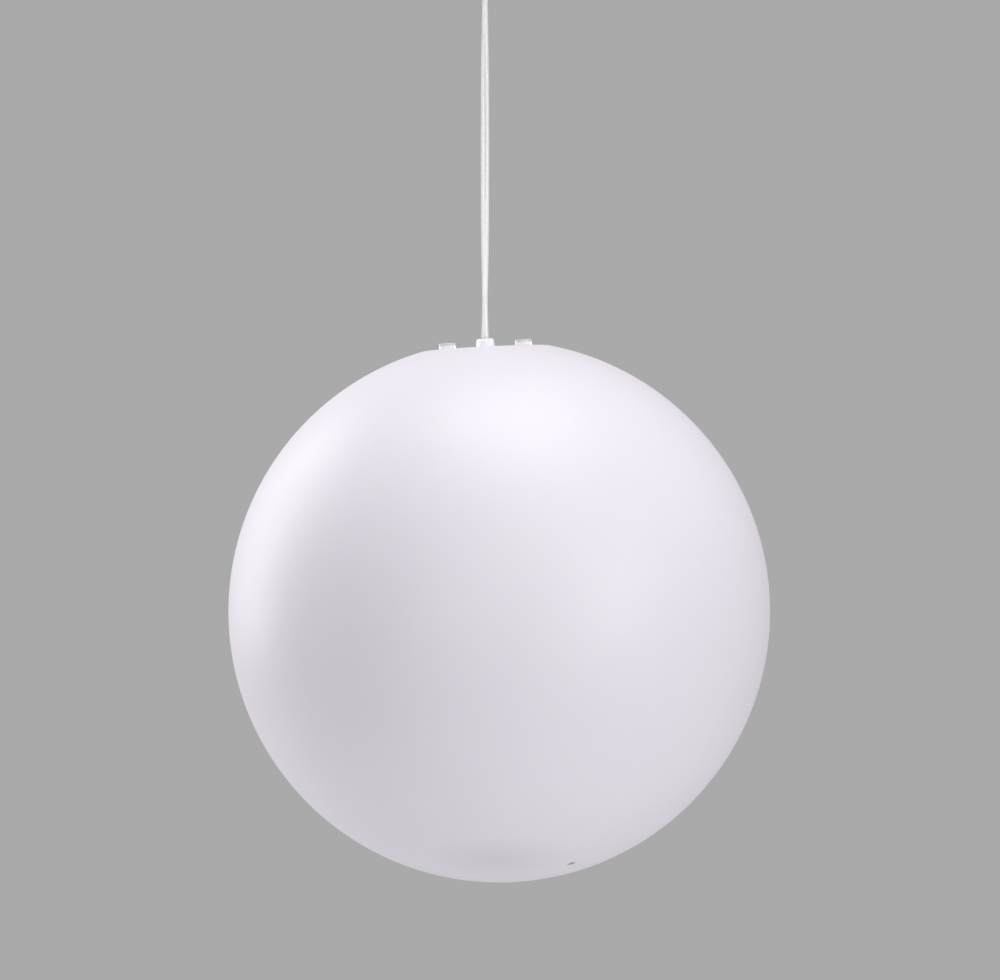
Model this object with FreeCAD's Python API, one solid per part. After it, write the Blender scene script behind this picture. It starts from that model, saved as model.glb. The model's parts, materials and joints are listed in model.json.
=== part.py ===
import FreeCAD, Part
import math
import os

# Pendant globe light for gardens and porches: a white moulded ball that hangs on its own flat
# twin cord from a ceiling cup.  A lid let into the flat on top of the ball carries the cord
# gland, the lampholder and the lamp; two clear coin screws hold the ball to that lid.
#
# Millimetres, +Z up.  The origin is the centre of the ceiling screws, in the ceiling plane, and
# everything hangs below it.  The photograph looks along +Y, with +X to its right.
#
# Pieces on the globe are drawn on the globe's own axis, with z = 0 in the plane of its flat, and
# pieces in the ceiling cup's gland with z = 0 on the cup's underside; hung() and at_cup() then
# put them in place.

V = FreeCAD.Vector
Z_AXIS = V(0, 0, 1)

# ---- the globe -------------------------------------------------------------------------------
globe_diameter = 400.0
flat_diameter = 91.5            # the flat on top
flat_corner_radius = 25.0       # soft corner where the ball runs into the flat
shell_wall = 3.0
wall_drift = 0.505              # the hollow sits this far to the right, so the left wall is thicker
hang_angle = 3.0                # and the globe hangs this many degrees out of true
flat_rim = 4.75                 # width of the flat left round the lid's recess
seat_thickness = 4.0            # plastic under the lid
drain_diameter = 3.0
drain_from_pole = 22.3          # degrees up from the lowest point of the ball
drain_bearing = -55.7           # degrees round the axis, from +X

# ---- the lid ---------------------------------------------------------------------------------
lid_thickness = 3.0
lid_clearance = 0.5             # all round, in the recess
lid_edge_radius = 0.6
spigot_wall = 1.5
spigot_depth = 6.0
spigot_clearance = 0.5          # all round, in the opening
gasket_thickness = 1.5
gasket_margin = 0.5             # how far the gasket stays inside the lid's edge
gasket_width = 7.0              # of the ring itself

# ---- the two clear screws and their inserts --------------------------------------------------
screw_thread_diameter = 5.0
screw_reach = 9.0               # of the shank into its insert
screw_head_diameter = 12.6
screw_head_height = 4.0
screw_head_radius = 0.5
coin_slot_width = 1.8
coin_slot_depth = 1.9
screw_washer_diameter = 12.0
screw_washer_thickness = 1.0
screw_hole_clearance = 0.3      # radial, in the lid and the washer
thread_clearance = 0.1          # radial, in the insert
insert_diameter = 7.0
insert_length = 10.0
insert_groove = 0.4             # depth of the grooves that key it
insert_web = 1.6                # plastic between the insert and the opening
boss_wall = 3.0
boss_floor = 2.0

# ---- the cord and its glands -----------------------------------------------------------------
cord_width = 6.2                # across the flat twin cord
cord_free_length = 300.0        # from mouth to mouth of the two glands
cord_bend_length = 12.0         # the stretch at either end that does the bending
cord_gap = 0.3                  # between one length of cord and the next
swing_limit = 15.0              # degrees, at the ceiling
tilt_limit = 8.0                # degrees, at the globe
gland_nut_diameter = 14.0       # at its foot
gland_nut_top_diameter = 12.4
gland_nut_height = 6.0
gland_nut_corner = 0.7
gland_mouth_clearance = 0.4     # radial, round the cord
gland_washer_thickness = 1.0
gland_grip = 2.6                # length of nipple inside the nut
gland_seal_height = 1.6
nipple_diameter = 10.0
nipple_wall = 1.0
nipple_play = 0.05              # radial, in whatever is screwed on it
lid_hole_clearance = 0.2        # radial, round the nipple
locknut_across_flats = 17.0
locknut_height = 3.0
plate_washer_diameter = 20.0
plate_washer_thickness = 1.0
core_diameter = 2.2
core_spacing = 3.0              # between the centres of the two cores in the cord
sheath_past_nipple = 1.0        # the sheath ends this far beyond its nipple
core_lead = 3.0                 # from the sheath to the first bend
core_above_terminal = 5.0       # height of the second bend over its terminal

# ---- the lampholder --------------------------------------------------------------------------
holder_diameter = 39.0
holder_clearance = 3.5          # all round, in the globe's opening
holder_wall = 2.0
holder_neck_diameter = 16.0
holder_neck_length = 9.0
holder_neck_gap = 1.0           # under the locknut
holder_shoulder = 11.0          # height over which the cap widens
holder_cap_skirt = 12.0
holder_collar_height = 6.0      # the sleeve's collar inside the cap
holder_collar_wall = 1.5
holder_sleeve_length = 32.0
holder_rib_count = 24
holder_rib_depth = 0.5
holder_play = 0.1
carrier_thickness = 8.0
ledge_width = 1.0
ledge_thickness = 2.0
terminal_size = 5.0
terminal_height = 6.0
terminal_offset = 9.0           # from the axis
terminal_screw_diameter = 3.0
terminal_floor = 1.0            # brass under each core
carrier_recess = 3.0            # depth of the dish between the terminals
grub_slot_width = 0.6
grub_slot_depth = 0.8
contact_width = 6.0
contact_thickness = 0.5
contact_drop = 2.3              # how far the centre contact springs down
contact_gap = 0.3               # to the lamp
screw_shell_wall = 0.5
screw_shell_length = 22.0

# ---- the lamp --------------------------------------------------------------------------------
lamp_cap_diameter = 26.0        # over the crests of the thread
lamp_thread_pitch = 3.63
lamp_thread_depth = 0.8
lamp_thread_turns = 5
lamp_cap_clearance = 0.6        # radial, in the screw shell
lamp_cap_wall = 0.4
lamp_tip_diameter = 9.0
lamp_tip_height = 1.4
lamp_insulator_height = 3.0
lamp_cap_collar = 3.5
lamp_housing_length = 20.0
lamp_housing_wall = 1.5
lamp_diameter = 38.0
lamp_diffuser_length = 68.0
lamp_diffuser_wall = 1.2
lamp_dome_height = 14.0
led_post_width = 12.0
led_post_end_gap = 4.0
led_chip_size = 3.0
led_chip_height = 0.7
led_rows = 7
led_foot_thickness = 1.5
led_foot_height = 1.0           # of its underside, inside the housing
led_foot_play = 0.05            # radial, in the housing
driver_width = 16.0
driver_thickness = 1.6
driver_gap = 1.0
coil_diameter = 8.0
coil_length = 6.0
coil_height = 9.0               # of its centre, from the foot of the board
capacitor_diameter = 7.0
capacitor_length = 12.0
capacitor_bite = 0.2            # so that it joins the board
capacitor_top_gap = 5.0         # from the top of the board

# ---- the ceiling fitting ---------------------------------------------------------------------
cup_diameter = 90.0
cup_bottom_diameter = 84.0
cup_height = 32.0
cup_wall = 2.0
cup_corner = 8.0
bracket_width = 18.0
bracket_thickness = 1.5
bracket_span = 76.0
bracket_bridge = 48.0           # outside the two risers
bracket_drop = 11.0             # underside of the bridge below the ceiling
bracket_bend = 2.5
ceiling_screw_spacing = 62.0
ceiling_slot_width = 5.0
ceiling_slot_length = 9.0
nipple_above_bridge = 2.0
block_length = 20.0             # terminal block, across its two poles
block_depth = 16.0
block_height = 12.0
block_offset = 14.0             # from the axis to its near face
block_pole_spacing = 9.0
block_tube_diameter = 4.4
block_tube_wall = 0.8
block_tube_play = 0.05          # radial, in the block
block_screw_play = 0.3          # radial, in the block
block_screw_sunk = 1.0          # under the block's top
block_screw_diameter = 3.0
block_screw_spacing = 8.0
core_bend_radius = 3.4
core_over_bridge = 1.3          # between the cores and the bracket's edge

# ---- sizes that follow -----------------------------------------------------------------------
globe_radius = globe_diameter / 2
flat_radius = flat_diameter / 2
centre_depth = math.sqrt(globe_radius**2 - flat_radius**2)   # of the ball, under its flat
recess_radius = flat_radius - flat_rim
lid_radius = recess_radius - lid_clearance
opening_radius = holder_diameter / 2 + holder_clearance
insert_radius = insert_diameter / 2
screw_offset = opening_radius + insert_web + insert_radius   # each clear screw from the axis
screw_radius = screw_thread_diameter / 2
lid_bottom = -lid_thickness
seat_top = lid_bottom - gasket_thickness
seat_bottom = seat_top - seat_thickness
insert_bottom = seat_top - insert_length

cord_radius = cord_width / 2
core_radius = core_diameter / 2
nipple_radius = nipple_diameter / 2
gland_nut_foot = gland_washer_thickness
gland_mouth = gland_nut_foot + gland_nut_height
nipple_top = gland_nut_foot + gland_grip
gland_roof = nipple_top + gland_seal_height
swing_pivot = -(cup_height + gland_mouth + cord_gap)
side_swing_pivot = swing_pivot - cord_bend_length - cord_gap
tilt_pivot = -(cup_height + gland_mouth + cord_free_length - cord_gap)
foot_top = tilt_pivot + cord_bend_length
run_bottom = foot_top + cord_gap
flat_height = tilt_pivot - cord_gap - gland_mouth            # of the globe's flat, before it tilts

lid_locknut_top = lid_bottom - plate_washer_thickness
holder_top = lid_locknut_top - locknut_height - holder_neck_gap
nipple_bottom = holder_top - holder_neck_length
holder_roof = nipple_bottom - 1.0
holder_radius = holder_diameter / 2
holder_shoulder_z = holder_top - holder_neck_length - holder_shoulder
holder_joint = holder_shoulder_z - holder_cap_skirt
holder_bottom = holder_joint - holder_sleeve_length
holder_bore = holder_radius - holder_wall
collar_top = holder_joint + holder_collar_height
collar_radius = holder_bore - holder_play
collar_bore = collar_radius - holder_collar_wall
carrier_radius = collar_bore - holder_play
carrier_top = collar_top - 2.0
carrier_bottom = carrier_top - carrier_thickness
lamp_cap_radius = lamp_cap_diameter / 2
screw_shell_bore = lamp_cap_radius + lamp_cap_clearance
screw_shell_radius = screw_shell_bore + screw_shell_wall
lamp_top = carrier_bottom - screw_shell_wall - contact_drop - contact_gap
lamp_shell_top = lamp_top - lamp_tip_height - lamp_insulator_height
lamp_thread_length = lamp_thread_pitch * lamp_thread_turns
lamp_shell_bottom = lamp_shell_top - lamp_thread_length - lamp_cap_collar
lamp_housing_bottom = lamp_shell_bottom - lamp_housing_length
lamp_bottom = lamp_housing_bottom - lamp_diffuser_length
lamp_radius = lamp_diameter / 2

cup_inside = -(cup_height - cup_wall)                        # the cup's floor, from the ceiling
bridge_top = -(bracket_drop - bracket_thickness)


# ---- drawing helpers -------------------------------------------------------------------------
def cylinder(radius, low, high, x=0.0, y=0.0):
    return Part.makeCylinder(radius, high - low, V(x, y, low))


def ring(radius, bore, low, high, x=0.0, y=0.0):
    return cylinder(radius, low, high, x, y).cut(cylinder(bore, low, high, x, y))


def block(size_x, size_y, low, high, x=0.0, y=0.0):
    """A box centred on (x, y) that runs from low to high."""
    return Part.makeBox(size_x, size_y, high - low, V(x - size_x / 2, y - size_y / 2, low))


def rounded_path(corners, closed):
    """Straight edges with a tangent arc at each corner whose rounding isn't 0.

    A corner is (point, rounding).  Returns the list of edges."""
    count = len(corners)
    starts, ends, arcs = [], [], []
    for i, (point, rounding) in enumerate(corners):
        inner = closed or 0 < i < count - 1
        if not inner or rounding <= 0:
            starts.append(point)
            ends.append(point)
            arcs.append(None)
            continue
        back = (corners[i - 1][0] - point).normalize()
        ahead = (corners[(i + 1) % count][0] - point).normalize()
        half = back.getAngle(ahead) / 2
        reach = rounding / math.tan(half)
        middle = (back + ahead).normalize()
        centre = point + middle * (rounding / math.sin(half))
        starts.append(point + back * reach)
        ends.append(point + ahead * reach)
        arcs.append(centre - middle * rounding)
    edges = []
    for i in range(count):
        if arcs[i] is not None:
            edges.append(Part.Arc(starts[i], arcs[i], ends[i]).toShape())
        last = i == count - 1
        if last and not closed:
            break
        edges.append(Part.LineSegment(ends[i], starts[(i + 1) % count]).toShape())
    return edges


def turned(outline):
    """A solid of revolution about Z.  Each corner of the outline is (radius, z) or (radius, z, rounding)."""
    corners = [(V(c[0], 0, c[1]), c[2] if len(c) > 2 else 0.0) for c in outline]
    face = Part.Face(Part.Wire(rounded_path(corners, closed=True)))
    return face.revolve(V(0, 0, 0), Z_AXIS, 360)


def rod(points, radius, bend_radius):
    """A round rod or wire along straight runs joined by tangent arcs."""
    corners = [(V(*p), bend_radius) for p in points]
    path = Part.Wire(rounded_path(corners, closed=False))
    heading = V(*points[1]) - V(*points[0])
    section = Part.Wire(Part.Circle(V(*points[0]), heading, radius).toShape())
    solid = path.makePipeShell([section], True, False)
    expected = math.pi * radius**2 * path.Length
    print("wire %.1f mm long, volume off by %.4f %%" % (path.Length, 100 * (solid.Volume / expected - 1)))
    return solid


def hexagon(across_flats, low, high):
    corner = across_flats / math.sqrt(3)
    points = [V(corner * math.cos(math.radians(60 * k)), corner * math.sin(math.radians(60 * k)), low)
              for k in range(7)]
    return Part.Face(Part.makePolygon(points)).extrude(V(0, 0, high - low))


def joined(pieces):
    """Separate solids that share one node."""
    return Part.makeCompound(pieces)


def hung(shape):
    """From the globe's own axis to its place under the cord, hanging out of true."""
    placed = shape.copy()
    placed.translate(V(0, 0, flat_height))
    placed.rotate(V(0, 0, tilt_pivot), V(0, 1, 0), -hang_angle)
    return placed


def at_cup(shape):
    """From a gland drawn upright to the one under the ceiling cup, which points down."""
    placed = shape.copy()
    placed.rotate(V(0, 0, 0), V(1, 0, 0), 180)
    placed.translate(V(0, 0, -cup_height))
    return placed


def upright(shape):
    return shape


# ---- the globe and what is moulded into it ---------------------------------------------------
def ball_with_flat():
    """The outside of the globe: an arc from the lowest point, a soft corner and the flat."""
    corner = flat_corner_radius
    corner_x = math.sqrt((globe_radius - corner)**2 - (centre_depth - corner)**2)
    centre = V(0, 0, -centre_depth)
    corner_centre = V(corner_x, 0, -corner)
    outward = (corner_centre - centre).normalize()
    leaves_ball = centre + outward * globe_radius
    halfway = (outward + Z_AXIS).normalize()
    lowest = centre - Z_AXIS * globe_radius
    widest = centre + V(globe_radius, 0, 0)
    meets_flat = V(corner_x, 0, 0)
    middle = V(0, 0, 0)
    edges = [
        Part.Arc(lowest, widest, leaves_ball).toShape(),
        Part.Arc(leaves_ball, corner_centre + halfway * corner, meets_flat).toShape(),
        Part.LineSegment(meets_flat, middle).toShape(),
        Part.LineSegment(middle, lowest).toShape(),
    ]
    return Part.Face(Part.Wire(edges)).revolve(V(0, 0, 0), Z_AXIS, 360)


def hollow():
    """The inside of the globe, clear of the dish that the lid sits in."""
    cavity_radius = globe_radius - shell_wall
    cavity = Part.makeSphere(cavity_radius, V(wall_drift, 0, -centre_depth))
    above_flat_wall = cylinder(globe_radius, -shell_wall, globe_radius)
    dish = cylinder(recess_radius + shell_wall, seat_bottom, globe_radius)
    return cavity.cut(above_flat_wall).cut(dish)


def globe_shell():
    shell = ball_with_flat().cut(hollow())
    for side in (-1, 1):
        shell = shell.fuse(cylinder(insert_radius + boss_wall, insert_bottom - boss_floor, seat_bottom,
                                    side * screw_offset))
    shell = shell.cut(cylinder(recess_radius, seat_top, globe_radius))
    shell = shell.cut(cylinder(opening_radius, insert_bottom - boss_floor, globe_radius))
    for side in (-1, 1):
        shell = shell.cut(cylinder(insert_radius, insert_bottom, seat_top, side * screw_offset))
    polar, bearing = math.radians(drain_from_pole), math.radians(drain_bearing)
    outward = V(math.sin(polar) * math.cos(bearing), math.sin(polar) * math.sin(bearing), -math.cos(polar))
    inside_end = V(0, 0, -centre_depth) + outward * (globe_radius - 3 * shell_wall)
    shell = shell.cut(Part.makeCylinder(drain_diameter / 2, 6 * shell_wall, inside_end, outward))
    return shell


def thread_insert(side):
    """Brass insert moulded into a boss, with the shallow grooves that key it."""
    groove = insert_length / 5
    x = side * screw_offset
    insert = ring(insert_radius, screw_radius + thread_clearance, insert_bottom, seat_top, x)
    for k in (1, 3):
        low = insert_bottom + k * groove
        insert = insert.cut(ring(insert_radius, insert_radius - insert_groove, low, low + groove, x))
    return insert


# ---- the lid and its screws ------------------------------------------------------------------
def lid_plate():
    spigot_radius = opening_radius - spigot_clearance
    hole = nipple_radius + lid_hole_clearance
    spigot_bore = spigot_radius - spigot_wall
    spigot_bottom = lid_bottom - spigot_depth
    lid = turned([
        (hole, 0), (lid_radius, 0, lid_edge_radius), (lid_radius, lid_bottom, lid_edge_radius),
        (spigot_radius, lid_bottom), (spigot_radius, spigot_bottom, 0.4), (spigot_bore, spigot_bottom, 0.4),
        (spigot_bore, lid_bottom), (hole, lid_bottom),
    ])
    for side in (-1, 1):
        lid = lid.cut(cylinder(screw_radius + screw_hole_clearance, lid_bottom, 0, side * screw_offset))
    return lid


def lid_gasket():
    """Flat ring under the lid's edge, cleared for the screws where it reaches them."""
    outer = lid_radius - gasket_margin
    hole = screw_radius + screw_hole_clearance
    gasket = ring(outer, outer - gasket_width, seat_top, lid_bottom)
    for side in (-1, 1):
        gasket = gasket.cut(cylinder(hole, seat_top, lid_bottom, side * screw_offset))
    return gasket


def screw_washer(side):
    return ring(screw_washer_diameter / 2, screw_radius + screw_hole_clearance, 0, screw_washer_thickness,
                side * screw_offset)


def cover_screw(side):
    """Clear coin screw: a low cheese head with a slot, on a plain shank of the thread's size."""
    foot = screw_washer_thickness
    top = foot + screw_head_height
    head_radius = screw_head_diameter / 2
    tip = seat_top - screw_reach
    screw = turned([
        (0, top), (head_radius, top, screw_head_radius), (head_radius, foot, 0.2), (screw_radius, foot),
        (screw_radius, tip, 0.6), (0, tip),
    ])
    screw = screw.cut(block(screw_head_diameter, coin_slot_width, top - coin_slot_depth, top))
    screw.translate(V(side * screw_offset, 0, 0))
    return screw


# ---- a cord gland, the same at both ends of the cord -----------------------------------------
def gland_washer():
    return ring(gland_nut_diameter / 2, nipple_radius + lid_hole_clearance, 0, gland_washer_thickness)


def gland_nut():
    """Clear nut that squeezes the seal on the cord, slightly narrower at its mouth."""
    bore = nipple_radius + nipple_play
    mouth = cord_radius + gland_mouth_clearance
    return turned([
        (bore, gland_nut_foot), (gland_nut_diameter / 2, gland_nut_foot),
        (gland_nut_top_diameter / 2, gland_mouth, gland_nut_corner), (mouth, gland_mouth, 0.3),
        (mouth, gland_roof), (bore, gland_roof),
    ])


def gland_seal():
    """Soft ring squeezed between the nipple's end and the nut."""
    return turned([
        (cord_radius, nipple_top), (nipple_radius, nipple_top), (nipple_radius, gland_roof, 0.4),
        (cord_radius, gland_roof),
    ])


def nipple(low):
    """Threaded tube that carries everything at its end of the cord."""
    return ring(nipple_radius, nipple_radius - nipple_wall, low, nipple_top)


def locknut(top):
    nut = hexagon(locknut_across_flats, top - locknut_height, top)
    return nut.cut(cylinder(nipple_radius + nipple_play, top - locknut_height, top))


def plate_washer():
    return ring(plate_washer_diameter / 2, nipple_radius + lid_hole_clearance, lid_locknut_top, lid_bottom)


# ---- the cord --------------------------------------------------------------------------------
def cord_length(low, high, low_bend, high_bend):
    """A straight length of cord.  An end that bends is a shallow cone with its point on the pivot."""
    low_cone = cord_radius * math.tan(math.radians(low_bend))
    high_cone = cord_radius * math.tan(math.radians(high_bend))
    outline = [(0, low), (cord_radius, low + low_cone), (cord_radius, high - high_cone), (0, high)]
    return turned(outline)


def cord_head():
    return cord_length(side_swing_pivot + cord_gap, swing_pivot, 0, swing_limit + 1)


def cord_run():
    return cord_length(run_bottom, side_swing_pivot, 0, swing_limit + 1)


def cord_foot():
    return cord_length(tilt_pivot, foot_top, tilt_limit + 1, 0)


def cord_tail(low):
    """The cord inside its gland and nipple."""
    return cord_length(low, gland_mouth, 0, 0)


def lamp_core(side):
    """One core of the cord, from where the sheath ends to its terminal in the lampholder."""
    start = side * core_spacing / 2
    end = side * terminal_offset
    top = nipple_bottom - sheath_past_nipple
    over_terminal = carrier_top + terminal_height + core_above_terminal
    low = carrier_top + terminal_floor
    return rod([(start, 0, top), (start, 0, top - core_lead), (end, 0, over_terminal), (end, 0, low)],
               core_radius, core_bend_radius)


# ---- the lampholder --------------------------------------------------------------------------
def holder_cap():
    neck = holder_neck_diameter / 2
    wall = holder_wall
    bore = nipple_radius + nipple_play
    neck_foot = holder_top - holder_neck_length
    return turned([
        (bore, holder_top), (neck, holder_top, 0.8), (neck, neck_foot, 2.0),
        (holder_radius, holder_shoulder_z, 6.0), (holder_radius, holder_joint),
        (holder_bore, holder_joint), (holder_bore, holder_shoulder_z - 1.0, 4.0),
        (neck - wall / 2, holder_roof - wall), (bore, holder_roof),
    ])


def holder_sleeve():
    """Lower half of the lampholder: a collar that screws into the cap, a ledge and a ribbed skirt."""
    ledge_bore = collar_bore - ledge_width
    ledge_bottom = carrier_bottom - ledge_thickness
    sleeve = turned([
        (collar_bore, collar_top), (collar_radius, collar_top, 0.4), (collar_radius, holder_joint),
        (holder_radius, holder_joint, 0.4), (holder_radius, holder_bottom, 1.0),
        (holder_bore, holder_bottom, 0.6), (holder_bore, ledge_bottom - 2.0),
        (ledge_bore, ledge_bottom), (ledge_bore, carrier_bottom),
        (collar_bore, carrier_bottom),
    ])
    rib_low = holder_bottom + 4.0
    rib_high = holder_joint - 4.0
    for k in range(holder_rib_count):
        groove = cylinder(holder_rib_depth * 2, rib_low, rib_high, holder_radius + holder_rib_depth)
        groove.rotate(V(0, 0, 0), Z_AXIS, 360.0 * k / holder_rib_count)
        sleeve = sleeve.cut(groove)
    return sleeve


def contact_carrier():
    carrier = cylinder(carrier_radius, carrier_bottom, carrier_top)
    return carrier.cut(block(terminal_size, terminal_size * 3, carrier_top - carrier_recess, carrier_top))


def holder_terminals():
    """Two brass terminals that stand on the carrier, each bored for its core."""
    made = []
    for side in (-1, 1):
        x = side * terminal_offset
        terminal = block(terminal_size, terminal_size, carrier_top, carrier_top + terminal_height, x)
        well = carrier_top + terminal_floor
        terminal = terminal.cut(cylinder(core_radius + holder_play, well, carrier_top + terminal_height, x))
        terminal = terminal.cut(side_screw_hole(side))
        made.append(terminal)
    return joined(made)


def side_screw_hole(side):
    """The radial hole for a terminal screw, from the core outwards."""
    start = V(side * (terminal_offset + core_radius), 0, carrier_top + terminal_height / 2)
    return Part.makeCylinder(terminal_screw_diameter / 2, terminal_size, start, V(side, 0, 0))


def holder_terminal_screws():
    """Grub screws with a driver slot, let into the outer face of each terminal."""
    made = []
    length = terminal_size / 2 - core_radius
    for side in (-1, 1):
        start = V(side * (terminal_offset + core_radius), 0, carrier_top + terminal_height / 2)
        screw = Part.makeCylinder(terminal_screw_diameter / 2, length, start, V(side, 0, 0))
        edge = terminal_screw_diameter / 2
        slot = block(2 * grub_slot_depth, grub_slot_width, -edge, edge)
        slot.translate(start + V(side * length, 0, 0))
        made.append(screw.cut(slot))
    return joined(made)


def screw_shell():
    """Metal shell that the lamp screws into, with the flange that rivets it to the carrier."""
    top = carrier_bottom
    flange_bore = screw_shell_bore - 4.0
    return turned([
        (flange_bore, top), (screw_shell_radius, top, 0.8), (screw_shell_radius, top - screw_shell_length),
        (screw_shell_bore, top - screw_shell_length), (screw_shell_bore, top - screw_shell_wall),
        (flange_bore, top - screw_shell_wall),
    ])


def centre_contact():
    """Springy strip under the carrier: it drops, runs across the axis and ends in a flat tongue."""
    top = carrier_bottom
    low = top - screw_shell_wall - contact_drop
    reach = screw_shell_bore - 5.0
    thick = contact_thickness
    corners = [
        (-reach, top), (-reach, top - thick), (-reach / 2, top - thick), (-2.0, low),
        (4.0, low), (4.0, low + thick), (-2.0 + thick / 2, low + thick), (-reach / 2 + thick, top),
    ]
    points = [V(x, -contact_width / 2, z) for x, z in corners]
    return Part.Face(Part.makePolygon(points + points[:1])).extrude(V(0, contact_width, 0))


# ---- the lamp --------------------------------------------------------------------------------
def lamp_tip():
    radius = lamp_tip_diameter / 2
    return turned([(0, lamp_top), (radius, lamp_top, 0.8), (radius, lamp_top - lamp_tip_height),
                   (0, lamp_top - lamp_tip_height)])


def lamp_insulator():
    """Glass cone between the tip and the threaded shell."""
    top = lamp_top - lamp_tip_height
    return turned([(0, top), (lamp_tip_diameter / 2 + 1.0, top), (lamp_cap_radius - 2.0, lamp_shell_top),
                   (0, lamp_shell_top)])


def lamp_shell():
    """Threaded cap of the lamp.  The thread is drawn as a stack of rounded rings."""
    crest = lamp_cap_radius
    root = crest - lamp_thread_depth
    half = lamp_thread_pitch / 2
    shell = [cylinder(root, lamp_shell_bottom, lamp_shell_top)]
    for k in range(lamp_thread_turns):
        middle = lamp_shell_top - (k + 0.5) * lamp_thread_pitch
        shell.append(turned([
            (0, middle + half * 0.9), (root, middle + half * 0.9), (crest, middle, half * 0.5),
            (root, middle - half * 0.9), (0, middle - half * 0.9),
        ]))
    shell.append(cylinder(crest, lamp_shell_bottom, lamp_shell_bottom + lamp_cap_collar))
    solid = shell[0].multiFuse(shell[1:])
    return solid.cut(cylinder(root - lamp_cap_wall, lamp_shell_bottom, lamp_shell_top - lamp_cap_wall))


def lamp_housing():
    """Plastic body that widens from the threaded shell to the diffuser."""
    neck = lamp_cap_radius + 0.4
    wall = lamp_housing_wall
    top = lamp_shell_bottom
    low = lamp_housing_bottom
    return turned([
        (neck - wall, top), (neck, top, 0.5), (neck + 1.0, top - 3.0, 4.0),
        (lamp_radius, low + 5.0, 6.0), (lamp_radius, low), (lamp_radius - wall, low),
        (lamp_radius - wall, low + 4.5, 5.0), (neck - wall, top - 4.0, 3.0),
    ])


def lamp_diffuser():
    """Opal tube, closed by a domed end."""
    wall = lamp_diffuser_wall
    radius = lamp_radius
    low, top = lamp_bottom, lamp_housing_bottom
    return turned([
        (radius - wall, top), (radius, top), (radius, low, lamp_dome_height), (0, low),
        (0, low + wall), (radius - wall, low + wall, lamp_dome_height - wall),
    ])


def led_post():
    """Square aluminium post that the light-emitting diodes are mounted on."""
    low = lamp_bottom + lamp_diffuser_wall + led_post_end_gap
    foot_low = lamp_housing_bottom + led_foot_height
    foot_radius = lamp_radius - lamp_housing_wall - led_foot_play
    foot = cylinder(foot_radius, foot_low, foot_low + led_foot_thickness)
    return block(led_post_width, led_post_width, low, foot_low).fuse(foot)


def led_chips():
    """Rows of square diodes on the four faces of the post."""
    made = []
    low = lamp_bottom + lamp_diffuser_wall + led_post_end_gap
    pitch = (lamp_housing_bottom - low) / led_rows
    face = led_post_width / 2 + led_chip_height / 2
    for row in range(led_rows):
        z = low + (row + 0.5) * pitch
        for turn in range(4):
            chip = block(led_chip_height, led_chip_size, z - led_chip_size / 2, z + led_chip_size / 2, face)
            chip.rotate(V(0, 0, 0), Z_AXIS, 90 * turn)
            made.append(chip)
    return joined(made)


def driver_board():
    """Circuit board that stands in the lamp's cap and housing."""
    low = lamp_housing_bottom + led_foot_height + led_foot_thickness
    high = lamp_shell_top - lamp_cap_wall - driver_gap
    front = driver_thickness / 2
    board = block(driver_width, driver_thickness, low, high)
    coil = Part.makeCylinder(coil_diameter / 2, coil_length, V(0, front, low + coil_height), V(0, 1, 0))
    capacitor_top = high - capacitor_top_gap
    capacitor = cylinder(capacitor_diameter / 2, capacitor_top - capacitor_length, capacitor_top,
                         0, front + capacitor_diameter / 2 - capacitor_bite)
    return board.fuse(coil).fuse(capacitor)


# ---- the ceiling fitting ---------------------------------------------------------------------
def ceiling_bracket():
    """Steel strip bent into a bridge, with a slot for a ceiling screw in either foot."""
    thick = bracket_thickness
    inner_bend = bracket_bend - thick
    foot = bracket_span / 2
    riser = bracket_bridge / 2
    half_right = [
        (riser - thick, bridge_top, inner_bend), (riser - thick, 0, bracket_bend), (foot, 0),
        (foot, -thick), (riser, -thick, inner_bend), (riser, -bracket_drop, bracket_bend),
    ]
    half_left = [(-x, z, *rest) for x, z, *rest in reversed(half_right)]
    corners = [(V(c[0], -bracket_width / 2, c[1]), c[2] if len(c) > 2 else 0.0)
               for c in half_right + half_left]
    strip = Part.Face(Part.Wire(rounded_path(corners, closed=True))).extrude(V(0, bracket_width, 0))
    strip = strip.cut(cylinder(nipple_radius + nipple_play, -bracket_drop, bridge_top))
    for side in (-1, 1):
        x = side * ceiling_screw_spacing / 2
        straight = ceiling_slot_length - ceiling_slot_width
        slot = block(straight, ceiling_slot_width, -thick, 0, x)
        for end in (-1, 1):
            slot = slot.fuse(cylinder(ceiling_slot_width / 2, -thick, 0, x + end * straight / 2))
        strip = strip.cut(slot)
    return strip


def ceiling_cup():
    outer, lower = cup_diameter / 2, cup_bottom_diameter / 2
    hole = nipple_radius + lid_hole_clearance
    return turned([
        (outer, 0), (lower, -cup_height, cup_corner), (hole, -cup_height), (hole, cup_inside),
        (lower - cup_wall, cup_inside, cup_corner - cup_wall), (outer - cup_wall, 0),
    ])


def block_centre():
    """Middle of the terminal block that lies on the cup's floor, in plan and in height."""
    return block_offset + block_depth / 2, cup_inside + block_height / 2


def terminal_block():
    """Two-pole terminal block: a waisted plastic body with a barrel over each pole."""
    y, z = block_centre()
    low, high = cup_inside, cup_inside + block_height
    body = block(block_length, block_depth * 0.6, low, high, 0, y)
    for side in (-1, 1):
        x = side * block_pole_spacing / 2
        body = body.fuse(block(block_pole_spacing - 1.5, block_depth, low, high, x, y))
        bore_radius = block_tube_diameter / 2 + block_tube_play
        bore = Part.makeCylinder(bore_radius, block_depth, V(x, block_offset, z), V(0, 1, 0))
        body = body.cut(bore)
        for end in (-1, 1):
            body = body.cut(cylinder(block_screw_diameter / 2 + block_screw_play, z, high,
                                     x, y + end * block_screw_spacing / 2))
    return body


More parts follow.
